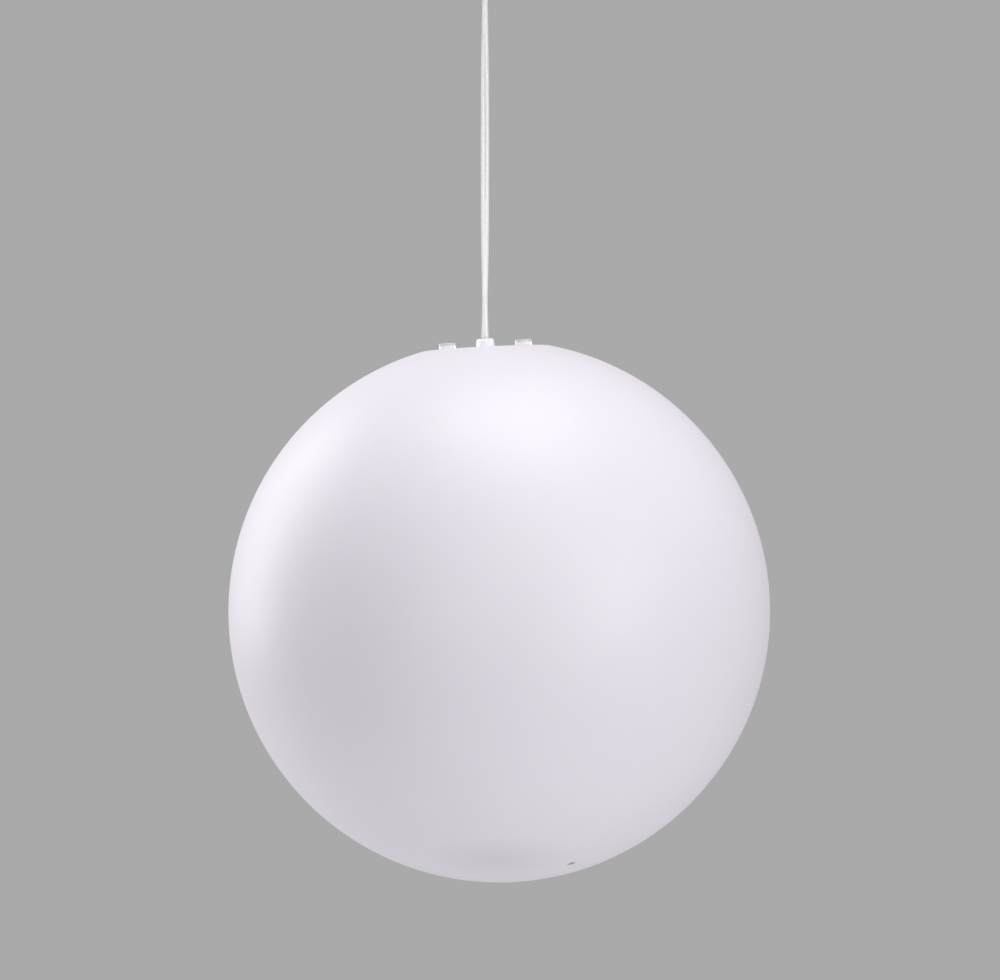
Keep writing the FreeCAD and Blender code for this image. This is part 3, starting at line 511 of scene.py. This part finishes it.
# Clear flat twin cord.  Its broad side faces the camera halfway down and it turns away slowly above
# and below, so the turn is a cubic of the height.
cord = dict(width=0.0062, thickness=0.0037, broadAt=-0.1997, quarterTurn=0.1109, evenShare=0.6,
            cubicShare=0.4, cubicUntil=1.4, grooveDepth=0.16, grooveWidth=0.06, coneTop=math.radians(16),
            coneEnd=math.radians(9), section=44, step=0.0008, leastRows=8, routeOrder=3, routeResolution=24,
            sharpAngle=50.0)
# The bundle of tinned strands that shows through each half of the cord.
strand = dict(radius=0.00088, lay=0.016, lobes=7, grooves=0.34, outwards=0.0001, wander=0.0001,
              wanderLength=0.021, inset=0.0012, section=35, sharpAngle=70.0)
upperRoute = [(0, 0, -0.0393), (0, 0, -0.0586), (0, 0, -0.078)]
lowerRoute = [(0, 0, -0.078), (0, 0, -0.136), (0, 0, -0.194), (0, 0, -0.252), (0, 0, -0.298), (0, 0, -0.3387)]


def routeLine(name, route):
    # points along the smooth line that the given route gives
    curve = bpy.data.curves.new(name, "CURVE")
    curve.dimensions = "3D"
    spline = curve.splines.new("NURBS")
    spline.points.add(len(route) - 1)
    for point, position in zip(spline.points, route):
        point.co = (*position, 1.0)
    spline.order_u = cord["routeOrder"]
    spline.use_endpoint_u = True
    spline.resolution_u = cord["routeResolution"]
    guide = bpy.data.objects.new(name, curve)
    bpy.context.scene.collection.objects.link(guide)
    read = bpy.data.meshes.new_from_object(guide)
    line = np.zeros(len(read.vertices) * 3, np.float32)
    read.vertices.foreach_get("co", line)
    bpy.data.objects.remove(guide)
    bpy.data.meshes.remove(read)
    return line.reshape(-1, 3).astype(float)


def cordTurn(z):
    # a quarter turn times (even t + cubic t^3), where t = (broadAt - z) / quarterTurn
    t = (cord["broadAt"] - z) / cord["quarterTurn"]
    held = np.clip(t, -cord["cubicUntil"], cord["cubicUntil"])
    return math.pi / 2 * (cord["evenShare"] * t + cord["cubicShare"] * held**3)


def levels(line):
    # heights at even steps along a route that runs straight down
    length = abs(line[-1, 2] - line[0, 2])
    return np.linspace(line[0, 2], line[-1, 2], max(cord["leastRows"], int(length / cord["step"])))


def ceilingTurn(z):
    # the cord's own turn, seen in the cup's gland, which is drawn upside down
    return -cordTurn(-z - place["cupHeight"])


def lidTurn(z):
    # the cord's own turn, at the height that z on the globe's axis stands for
    return cordTurn(z + flatHeight)


def sheathGrid(z, where, turnAt, coneTop=0.0, coneEnd=0.0):
    # two round lobes side by side: r = offset |cos a| + sqrt(radius^2 - (offset sin a)^2), with a soft
    # groove between them: r (1 - depth exp(-((|sin a| - 1) / width)^2)); a cone recedes by r tan(its angle)
    radius, offset = cord["thickness"] / 2, cord["width"] / 2 - cord["thickness"] / 2
    a = np.linspace(0, 2 * math.pi, cord["section"], endpoint=False)[None, :]
    across = offset * np.abs(np.cos(a)) + np.sqrt(radius**2 - (offset * np.sin(a)) ** 2)
    groove = cord["grooveDepth"] * np.exp(-(((np.abs(np.sin(a)) - 1) / cord["grooveWidth"]) ** 2))
    r = across * (1 - groove)
    turn = turnAt(z)[:, None]
    rows = np.stack([r * np.cos(a + turn), r * np.sin(a + turn), z[:, None] + 0 * a], axis=-1)
    rows[0, :, 2] -= r[0] * math.tan(coneTop)
    rows[-1, :, 2] += r[0] * math.tan(coneEnd)
    tips = [np.broadcast_to([0.0, 0.0, height], rows[0].shape)[None] for height in (z[0], z[-1])]
    return where(np.concatenate([tips[0], rows, tips[1]]))


def strandGrid(z, side, where, turnAt):
    # a bundle laid up in a helix: r = radius (1 - grooves |cos(lobes / 2 (a - 2 pi z / lay))|^3)
    a = np.linspace(0, 2 * math.pi, strand["section"], endpoint=False)[None, :]
    turn = turnAt(z)[:, None]
    lay = 2 * math.pi * z[:, None] / strand["lay"]
    grooves = strand["grooves"] * np.abs(np.cos(strand["lobes"] / 2 * (a - lay))) ** 3
    r = strand["radius"] * (1 - grooves)
    # the bundle wanders a little inside its lobe
    wander = strand["wander"] * np.sin(2 * math.pi * z[:, None] / strand["wanderLength"] + side)
    reach = side * (cord["width"] / 2 - cord["thickness"] / 2 + strand["outwards"]) + wander
    x = reach * np.cos(turn) + r * np.cos(a)
    y = reach * np.sin(turn) + r * np.sin(a)
    rows = np.stack([x, y, z[:, None] + 0 * a], axis=-1)
    ends = [np.broadcast_to(row.mean(axis=0), row.shape)[None] for row in (rows[0], rows[-1])]
    return where(np.concatenate([ends[0], rows, ends[1]]))


def cordPiece(name, z, where, turnAt=cordTurn, **cones):
    # a sheath along the heights z, and its two bundles, which stop short of its ends
    sheath = gridPiece(name, sheathGrid(z, where, turnAt, **cones), clearCord, sharpAngle=cord["sharpAngle"])
    inner = z[(z < max(z) - strand["inset"]) & (z > min(z) + strand["inset"])]
    strands = []
    for label, side in (("StrandA", 1.0), ("StrandB", -1.0)):
        grid = strandGrid(inner, side, where, turnAt)
        strands.append(gridPiece(name + label, grid, tinned, sharpAngle=strand["sharpAngle"]))
    return sheath, strands


upperLine, lowerLine = routeLine("upperRoute", upperRoute), routeLine("lowerRoute", lowerRoute)
upperCord, upperStrands = cordPiece("cordUpper", levels(upperLine), straight, coneTop=cord["coneTop"])
lowerCord, lowerStrands = cordPiece("cordLower", levels(lowerLine), straight, coneEnd=cord["coneEnd"])
for piece in (upperCord, *upperStrands):
    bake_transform(piece)
for piece in (lowerCord, *lowerStrands):
    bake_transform(piece)
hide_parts("cord_head")
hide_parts("cord_run", "cord_foot")

# The cord's tails, from the mouth of each gland down through its threaded tube.
tail = dict(top=0.007, ceilingLow=-0.0255, lidLow=-0.018, rows=50)
for name, low, where, turnAt, body, node in (
        ("ceilingTail", tail["ceilingLow"], atCup, ceilingTurn, "ceiling", "ceiling_cord_tail"),
        ("lidTail", tail["lidLow"], hung, lidTurn, "lid", "lid_cord_tail")):
    tailSheath, tailStrands = cordPiece(name, np.linspace(tail["top"], low, tail["rows"]), where, turnAt)
    for piece in (tailSheath, *tailStrands):
        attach(piece, body)
    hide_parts(node)
print("cord made")


# The clear gland nuts.  Their foot stands on a washer.
gland = dict(foot=0.001, height=0.006, radius=0.007, topRadius=0.0062, mouth=0.0035, bore=0.00505,
             roof=0.0052, corner=0.0007, footCorner=0.0002, mouthCorner=0.0003, flutes=18,
             fluteDepth=0.00022, fluteFade=0.0006, flutedFrom=0.0058, step=0.0005, segments=144)


def denseLine(line, step):
    # the same closed line with points no further apart than the step
    closed = np.concatenate([line, line[:1]])
    gaps = np.linalg.norm(np.diff(closed, axis=0), axis=1)
    parts = []
    for a, b, gap in zip(closed, closed[1:], gaps):
        share = np.linspace(0, 1, max(1, int(gap / step)) + 1)[:-1, None]
        parts.append(a + (b - a) * share)
    return np.concatenate(parts)


def glandNut(name, where, body, node):
    # a turned cap, r = outline - flutes
    top = gland["foot"] + gland["height"]
    line = outline([
        (gland["bore"], gland["foot"]), (gland["radius"], gland["foot"], gland["footCorner"]),
        (gland["topRadius"], top, gland["corner"]), (gland["mouth"], top, gland["mouthCorner"]),
        (gland["mouth"], gland["roof"]), (gland["bore"], gland["roof"])])

    def dent(a, r, z):
        # half-round flutes round the outside: depth max(0, cos(flutes a))^2, faded out at both ends
        low, high = (z - gland["foot"]) / gland["fluteFade"], (top - z) / gland["fluteFade"]
        depth = gland["fluteDepth"] * (np.clip(low, 0, 1) * np.clip(high, 0, 1))
        return np.where(r > gland["flutedFrom"], depth * np.maximum(0, np.cos(gland["flutes"] * a)) ** 2, 0.0)

    piece = turnedPiece(name, denseLine(line, gland["step"]), gland["segments"], clearHard, where, dent=dent)
    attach(piece, body)
    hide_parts(node)


glandNut("ceilingGlandNut", atCup, "ceiling", "ceiling_gland_nut")
glandNut("lidGlandNut", hung, "lid", "lid_gland_nut")

# The two clear slotted screws on top of the globe.
screw = dict(offset=0.0281, foot=0.001, headHeight=0.004, headRadius=0.0063, headCorner=0.0005,
             footCorner=0.0002, shank=0.0025, tip=-0.0135, tipCorner=0.0006, pitch=0.0008,
             threadDepth=0.0004, threadTop=-0.0032, threadedFrom=0.0018, slotWidth=0.0018, slotDepth=0.0019,
             slotPast=0.001, slotMargin=1.05, topMargin=0.00002, rimShare=0.95, step=0.00011, segments=72,
             sharpAngle=32.0)


def rim(points, side):
    # how far across its head each point lies, (x - middle) / head radius: 1 is on the rim
    middle = hung(np.array([side * screw["offset"], 0.0, screw["foot"]]))
    return (points[:, 0] - middle[0]) / screw["headRadius"]


def slotTool(side, top):
    # a box across the head, from the slot's floor to above the head
    half, length = screw["slotWidth"] / 2, screw["headRadius"] + screw["slotPast"]
    low, high = top - screw["slotDepth"], top + screw["slotPast"]
    corners = np.array([[x, y, z] for x in (-length, length) for y in (-half, half) for z in (low, high)])
    corners[:, 0] += side * screw["offset"]
    quads = np.array([[0, 1, 3, 2], [4, 6, 7, 5], [0, 4, 5, 1], [2, 3, 7, 6], [0, 2, 6, 4], [1, 5, 7, 3]])
    return meshPiece("slotTool", hung(corners), quads, toolMaterial)


def coverScrew(name, side, node, body):
    # a turned head and shank, r = outline - thread on the lower shank, less a slot across the head
    top = screw["foot"] + screw["headHeight"]
    line = outline([
        (0, top), (screw["headRadius"], top, screw["headCorner"]),
        (screw["headRadius"], screw["foot"], screw["footCorner"]), (screw["shank"], screw["foot"]),
        (screw["shank"], screw["tip"], screw["tipCorner"]), (0, screw["tip"])])

    def dent(a, r, z):
        onShank = (r > screw["threadedFrom"]) & (z < screw["threadTop"])
        thread = threadDepth(a, z, screw["pitch"], screw["threadDepth"], screw["tip"], screw["threadTop"])
        return np.where(onShank, thread, 0.0)

    line = denseLine(line, screw["step"])
    piece = turnedPiece(name, line, screw["segments"], clearHard, hung, side * screw["offset"], dent)
    cutWith(piece, [slotTool(side, top)])
    # a face is in the slot when its middle lies no further from the slot's plane than half its width,
    # no deeper than its floor, under the top and inside the rim
    middles = faceMiddles(piece)
    axis = np.array([math.sin(place["hangAngle"]), 0.0, math.cos(place["hangAngle"])])
    up = (middles - hung(np.zeros(3))) @ axis
    inWidth = np.abs(middles[:, 1]) < screw["slotWidth"] / 2 * screw["slotMargin"]
    inDepth = (up > top - screw["slotDepth"] * screw["slotMargin"]) & (up < top - screw["topMargin"])
    inSlot = inWidth & inDepth & (np.abs(rim(middles, side)) < screw["rimShare"])
    secondFinish(piece, screw["sharpAngle"], clearHard, slotDustAndShade, inSlot)
    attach(piece, body)
    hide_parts(node)


coverScrew("coverScrewLeft", -1, "cover_screw_left", "left_screw")
coverScrew("coverScrewRight", 1, "cover_screw_right", "right_screw")


# The threaded tubes of the two glands.
tube = dict(bore=0.004, radius=0.005, corner=0.0003, pitch=0.001, threadDepth=0.0004, threadedFrom=0.0045,
            runOut=0.001, top=0.0036, ceilingLow=-0.0245, lidLow=-0.017, step=0.00014, segments=72)


def threadedTube(name, low, where, body, node):
    # a turned tube, r = outline - thread all along its outside
    high = tube["top"]
    line = outline([(tube["bore"], low), (tube["radius"], low, tube["corner"]),
                    (tube["radius"], high, tube["corner"]), (tube["bore"], high)])

    def dent(a, r, z):
        ends = low - tube["runOut"], high + tube["runOut"]
        thread = threadDepth(a, z, tube["pitch"], tube["threadDepth"], *ends)
        return np.where(r > tube["threadedFrom"], thread, 0.0)

    piece = turnedPiece(name, denseLine(line, tube["step"]), tube["segments"], zinc, where, dent=dent)
    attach(piece, body)
    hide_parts(node)


threadedTube("ceilingNipple", tube["ceilingLow"], atCup, "ceiling", "ceiling_nipple")
threadedTube("lidNipple", tube["lidLow"], hung, "lid", "lid_nipple")


# The locknuts on the tubes.
nut = dict(flats=0.017, height=0.003, bore=0.00505, boreChamfer=0.0004, circleShare=0.96,
           chamfer=math.radians(30), ceilingLow=-0.021, lidLow=-0.007, segments=144, sharpAngle=25.0)


def hexNut(name, low, where, body, node):
    # radius flats / 2 / cos(angle to the nearest flat); outside its circle the chamfer falls at its angle
    a = np.linspace(0, 2 * math.pi, nut["segments"], endpoint=False)
    reach = nut["flats"] / 2 / np.cos((a + math.pi / 6) % (math.pi / 3) - math.pi / 6)
    circle = nut["flats"] / 2 * nut["circleShare"]
    fall = (reach - circle) * math.tan(nut["chamfer"])
    bore, edge, top = nut["bore"], nut["boreChamfer"], low + nut["height"]
    corners = [(bore, low + edge), (bore, top - edge), (bore + edge, top), (circle, top), (reach, top - fall),
               (reach, low + fall), (circle, low), (bore + edge, low)]
    grid = np.stack([np.stack([r * np.cos(a), r * np.sin(a), z + 0 * a], axis=-1) for r, z in corners])
    piece = gridPiece(name, where(grid), zinc, closeRows=True, sharpAngle=nut["sharpAngle"])
    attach(piece, body)
    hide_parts(node)


hexNut("ceilingLocknut", nut["ceilingLow"], atCup, "ceiling", "ceiling_locknut")
hexNut("lidLocknut", nut["lidLow"], hung, "lid", "lid_locknut")
print("glands, screws and nuts made")


# The lamp's threaded shell, with a plain collar under its thread.
lampThread = dict(pitch=0.00363, crest=0.013, depth=0.0008, top=-0.0515, bottom=-0.07315, collar=0.0035,
                  wall=0.0004, lip=0.001, shoulderShare=0.4, shoulderCorner=0.0006, lead=0.0012,
                  bottomCorner=0.0002, threadedShare=0.5, step=0.00035, segments=128)


def lampShell():
    # a thin turned shell, r = outline - thread down to its collar
    t = lampThread
    inner, lip = t["crest"] - t["depth"] - t["wall"], t["crest"] - t["depth"] - t["lip"]
    line = outline([
        (lip, t["top"]), (t["crest"] - t["depth"] * t["shoulderShare"], t["top"], t["shoulderCorner"]),
        (t["crest"], t["top"] - t["lead"]), (t["crest"], t["bottom"], t["bottomCorner"]),
        (inner, t["bottom"]), (inner, t["top"] - t["wall"]), (lip, t["top"] - t["wall"])])

    def dent(a, r, z):
        low = t["bottom"] + t["collar"] - t["pitch"]
        thread = threadDepth(a, z, t["pitch"], t["depth"], low, t["top"])
        return np.where(r > t["crest"] - t["depth"] * t["threadedShare"], thread, 0.0)

    piece = turnedPiece("lampShell", denseLine(line, t["step"]), t["segments"], nickel, hung, dent=dent)
    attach(piece, "lamp")
    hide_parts("lamp_shell")


# The holder's screw shell, of the same pitch.
holder = dict(top=-0.044, length=0.022, bore=0.0136, wall=0.0005, lip=0.004, topCorner=0.0008,
              threadDepth=0.00045, threadedFrom=0.001, runOut=0.001, plain=0.003, step=0.0004, segments=128)


def holderShell():
    # a thin turned shell, r = outline - thread on both faces of its wall
    h = holder
    low, lip, outside = h["top"] - h["length"], h["bore"] - h["lip"], h["bore"] + h["wall"]
    line = outline([
        (lip, h["top"]), (outside, h["top"], h["topCorner"]), (outside, low), (h["bore"], low),
        (h["bore"], h["top"] - h["wall"]), (lip, h["top"] - h["wall"])])

    def dent(a, r, z):
        # pressed inwards between the lamp's crests, never past the lamp's own thread
        ends = low - h["runOut"], h["top"] - h["plain"]
        thread = threadDepth(a, z, lampThread["pitch"], h["threadDepth"], *ends)
        return np.where(r > h["bore"] - h["threadedFrom"], thread, 0.0)

    piece = turnedPiece("holderScrewShell", denseLine(line, h["step"]), h["segments"], brass, hung, dent=dent)
    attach(piece, "lid")
    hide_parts("screw_shell")


lampShell()
holderShell()
print("lamp thread made")


# The globe, with the recess for its lid and a boss round each insert.
ball = dict(radius=0.200, flatRadius=0.04575, corner=0.025, wall=0.003, drift=0.000505, recess=0.041,
            recessEdge=0.0005, seatTop=-0.0045, seatBottom=-0.0085, opening=0.023, insert=0.0035,
            insertDepth=0.0145, insertBelow=0.002, insertAbove=0.001, insertSegments=64, boss=0.0065,
            bossFoot=-0.0165, bossCorner=0.0006, outerSteps=150, cornerSteps=10, innerSteps=120, segments=192,
            sharpAngle=30.0)


def arcLine(centre, radius, start, end, steps):
    # points from start to end degrees: centre + radius (cos a, sin a)
    a = np.radians(np.linspace(start, end, steps))
    return np.stack([centre[0] + radius * np.cos(a), centre[1] + radius * np.sin(a)], axis=-1)


def ballTools(depth):
    # a cylinder for the drain hole and one for each insert
    sideways = np.cross(drainOut, [0.0, 0.0, 1.0])
    sideways /= np.linalg.norm(sideways)
    upwards = np.cross(sideways, drainOut)

    def alongDrain(points):
        # z of the tool runs out through the wall: centre + out (radius + z) + sideways x + upwards y
        reach = drainOut * (ball["radius"] + points[..., 2:])
        across = sideways * points[..., :1]
        return hung(np.array([0, 0, -depth]) + reach + across + upwards * points[..., 1:2])

    low, high = ball["seatBottom"] - ball["insertBelow"], ball["seatTop"] + ball["insertAbove"]
    tools = [cylinderTool(drain["radius"], -drain["past"], drain["past"], 0, alongDrain, drain["segments"])]
    for side in (-1, 1):
        offset = side * screw["offset"]
        tools.append(cylinderTool(ball["insert"], low, high, offset, hung, ball["insertSegments"]))
    return tools


def globeShell():
    # a ball and its hollow, turned about z, with the flat at sqrt(radius^2 - flatRadius^2) over the centre
    b = ball
    depth = math.sqrt(b["radius"] ** 2 - b["flatRadius"] ** 2)
    centre = (0.0, -depth)
    cornerX = math.sqrt((b["radius"] - b["corner"]) ** 2 - (depth - b["corner"]) ** 2)
    leave = math.degrees(math.atan2(depth - b["corner"], cornerX))
    inner = b["radius"] - b["wall"]
    # the hollow's arc ends where it meets the wall under the flat, and the dish's side comes down to it
    dish = b["recess"] + b["wall"]
    hollowEdge = math.degrees(math.acos(math.sqrt(inner**2 - (depth - b["wall"]) ** 2) / inner))
    line = np.concatenate([
        arcLine(centre, b["radius"], -90, leave, b["outerSteps"]),
        arcLine((cornerX, -b["corner"]), b["corner"], leave, 90, b["cornerSteps"])[1:],
        [[b["recess"] + b["recessEdge"], 0.0], [b["recess"], -b["recessEdge"]], [b["recess"], b["seatTop"]],
         [b["opening"], b["seatTop"]], [b["opening"], b["seatBottom"]], [dish, b["seatBottom"]],
         [dish, -b["wall"]]],
        arcLine(centre, inner, hollowEdge, -90, b["innerSteps"])])
    a = np.linspace(0, 2 * math.pi, b["segments"], endpoint=False)[None, :]
    r, z = line[:, :1], line[:, 1:]
    # only the hollow is off centre, so the wall on the left is thicker; its first point stays with the dish
    hollow = np.zeros((len(line), 1))
    hollow[1 - b["innerSteps"]:] = b["drift"]
    grid = np.stack([r * np.cos(a) + hollow, r * np.sin(a), z + 0 * a], axis=-1)
    piece = gridPiece("globeShell", hung(grid), opalMaterial, sharpAngle=b["sharpAngle"])
    cutWith(piece, ballTools(depth))
    # the inner face glows less: every face whose middle is nearer the centre than the middle of the wall
    reach = np.linalg.norm(faceMiddles(piece) - hung(np.array([0.0, 0.0, -depth])), axis=1)
    secondFinish(piece, b["sharpAngle"], opalMaterial, opalInside, reach < b["radius"] - b["wall"] / 2)
    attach(piece, "globe")
    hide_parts("globe_shell")
    for name, side in (("bossLeft", -1), ("bossRight", 1)):
        boss = outline([
            (b["insert"], b["seatBottom"]), (b["boss"], b["seatBottom"]),
            (b["boss"], b["bossFoot"], b["bossCorner"]), (0, b["bossFoot"]), (0, -b["insertDepth"]),
            (b["insert"], -b["insertDepth"])])
        made = turnedPiece(name, boss, b["insertSegments"], opalInside, hung, side * screw["offset"])
        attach(made, "globe")


globeShell()
print("globe made")


# Floor, light and camera.
studio = dict(floorHeight=-1.35, floorRings=(0.0, 1.0, 2.0, 4.0, 6.0, 9.0, 60.0), floorSegments=96,
              floor=(0.70, 0.70, 0.70), floorRoughness=0.6, backdrop=(0.40, 0.40, 0.405), fadeStart=1.0,
              fadeEnd=6.0, ambientTone=(1.0, 0.99, 1.0), ambient=0.36, lampTarget=(0, 0, -0.54))


def buildFloor():
    # a wide plain floor that turns into the backdrop's own tone far from the object
    a = np.linspace(0, 2 * math.pi, studio["floorSegments"], endpoint=False)[None, :]
    r = np.array(studio["floorRings"])[:, None]
    grid = np.stack([r * np.cos(a), r * np.sin(a), studio["floorHeight"] + 0 * r * a], axis=-1)
    material, tree, shader = newMaterial("floor", studio["floor"], studio["floorRoughness"])
    far = tree.nodes.new("ShaderNodeEmission")
    far.inputs["Color"].default_value = (*studio["backdrop"], 1.0)
    away = lengthFrom(tree, objectVector(tree, (0, 0, studio["floorHeight"])))
    blend = tree.nodes.new("ShaderNodeMixShader")
    tree.links.new(spread(tree, away, studio["fadeStart"], studio["fadeEnd"]), blend.inputs[0])
    tree.links.new(shader.outputs[0], blend.inputs[1])
    tree.links.new(far.outputs[0], blend.inputs[2])
    # its underside is see-through, so that the hanging globe can be looked at from below
    geometry = tree.nodes.new("ShaderNodeNewGeometry")
    clear = tree.nodes.new("ShaderNodeBsdfTransparent")
    sided = tree.nodes.new("ShaderNodeMixShader")
    tree.links.new(geometry.outputs["Backfacing"], sided.inputs[0])
    tree.links.new(blend.outputs[0], sided.inputs[1])
    tree.links.new(clear.outputs[0], sided.inputs[2])
    tree.links.new(sided.outputs[0], tree.nodes["Material Output"].inputs["Surface"])
    floor = gridPiece("floor", grid, material)
    if floor.data.polygons[0].normal.z < 0:
        floor.data.flip_normals()


def buildWorld():
    # the backdrop's tone for what the camera, gloss and clear plastic see, and plain light for the rest
    world = bpy.data.worlds.new("studio")
    bpy.context.scene.world = world
    world.use_nodes = True
    tree = world.node_tree
    seen = tree.nodes["Background"]
    seen.inputs["Color"].default_value = (*studio["backdrop"], 1.0)
    light = tree.nodes.new("ShaderNodeBackground")
    light.inputs["Color"].default_value = (*studio["ambientTone"], 1.0)
    light.inputs["Strength"].default_value = studio["ambient"]
    path = tree.nodes.new("ShaderNodeLightPath")
    visible = mathNode(tree, "MAXIMUM", path.outputs["Is Camera Ray"], path.outputs["Is Glossy Ray"])
    visible = mathNode(tree, "MAXIMUM", visible, path.outputs["Is Transmission Ray"])
    mix = tree.nodes.new("ShaderNodeMixShader")
    tree.links.new(visible, mix.inputs[0])
    tree.links.new(light.outputs[0], mix.inputs[1])
    tree.links.new(seen.outputs[0], mix.inputs[2])
    tree.links.new(mix.outputs[0], tree.nodes["World Output"].inputs["Surface"])


lamps = [
    # name, place, width, height, power
    ("keyLeft", (-2.30, 1.38, 0.32), 1.6, 2.6, 45.0),
    ("top", (0.10, -0.42, 1.84), 1.8, 1.8, 33.0),
    ("fillRight", (2.40, -2.20, -0.30), 2.0, 2.0, 33.5),
    ("front", (-0.60, -3.30, -0.30), 2.0, 2.0, 8.5),
]


def addLamp(name, position, width, height, power):
    # a plain rectangle of light, width by height, that faces the globe
    light = bpy.data.lights.new(name, "AREA")
    light.shape = "RECTANGLE"
    light.size, light.size_y, light.energy = width, height, power
    lamp = bpy.data.objects.new(name, light)
    lamp.location = position
    towards = Vector(studio["lampTarget"]) - Vector(position)
    lamp.rotation_euler = towards.to_track_quat("-Z", "Y").to_euler()
    bpy.context.scene.collection.objects.link(lamp)
    lamp.visible_camera = False


view = dict(aside=0.0111, away=4.0, eyeUnderFlat=0.1257, aimUnderFlat=0.1048, width=0.7394, sensor=36.0)


def addCamera():
    # four metres away and almost level, so that the view's width is seen at the globe:
    # focal length = sensor distance / width
    eye = Vector((view["aside"], -view["away"], flatHeight - view["eyeUnderFlat"]))
    aim = Vector((view["aside"], 0.0, flatHeight - view["aimUnderFlat"]))
    data = bpy.data.cameras.new("camera")
    data.sensor_width = view["sensor"]
    data.lens = view["sensor"] * (aim - eye).length / view["width"]
    camera = bpy.data.objects.new("camera", data)
    camera.location = eye
    camera.rotation_euler = (aim - eye).to_track_quat("-Z", "Y").to_euler()
    bpy.context.scene.collection.objects.link(camera)
    bpy.context.scene.camera = camera


buildFloor()
buildWorld()
for lampSettings in lamps:
    addLamp(*lampSettings)
addCamera()
bpy.context.scene.view_settings.view_transform = "Standard"
bpy.data.materials.remove(toolMaterial)

print("scene ready")
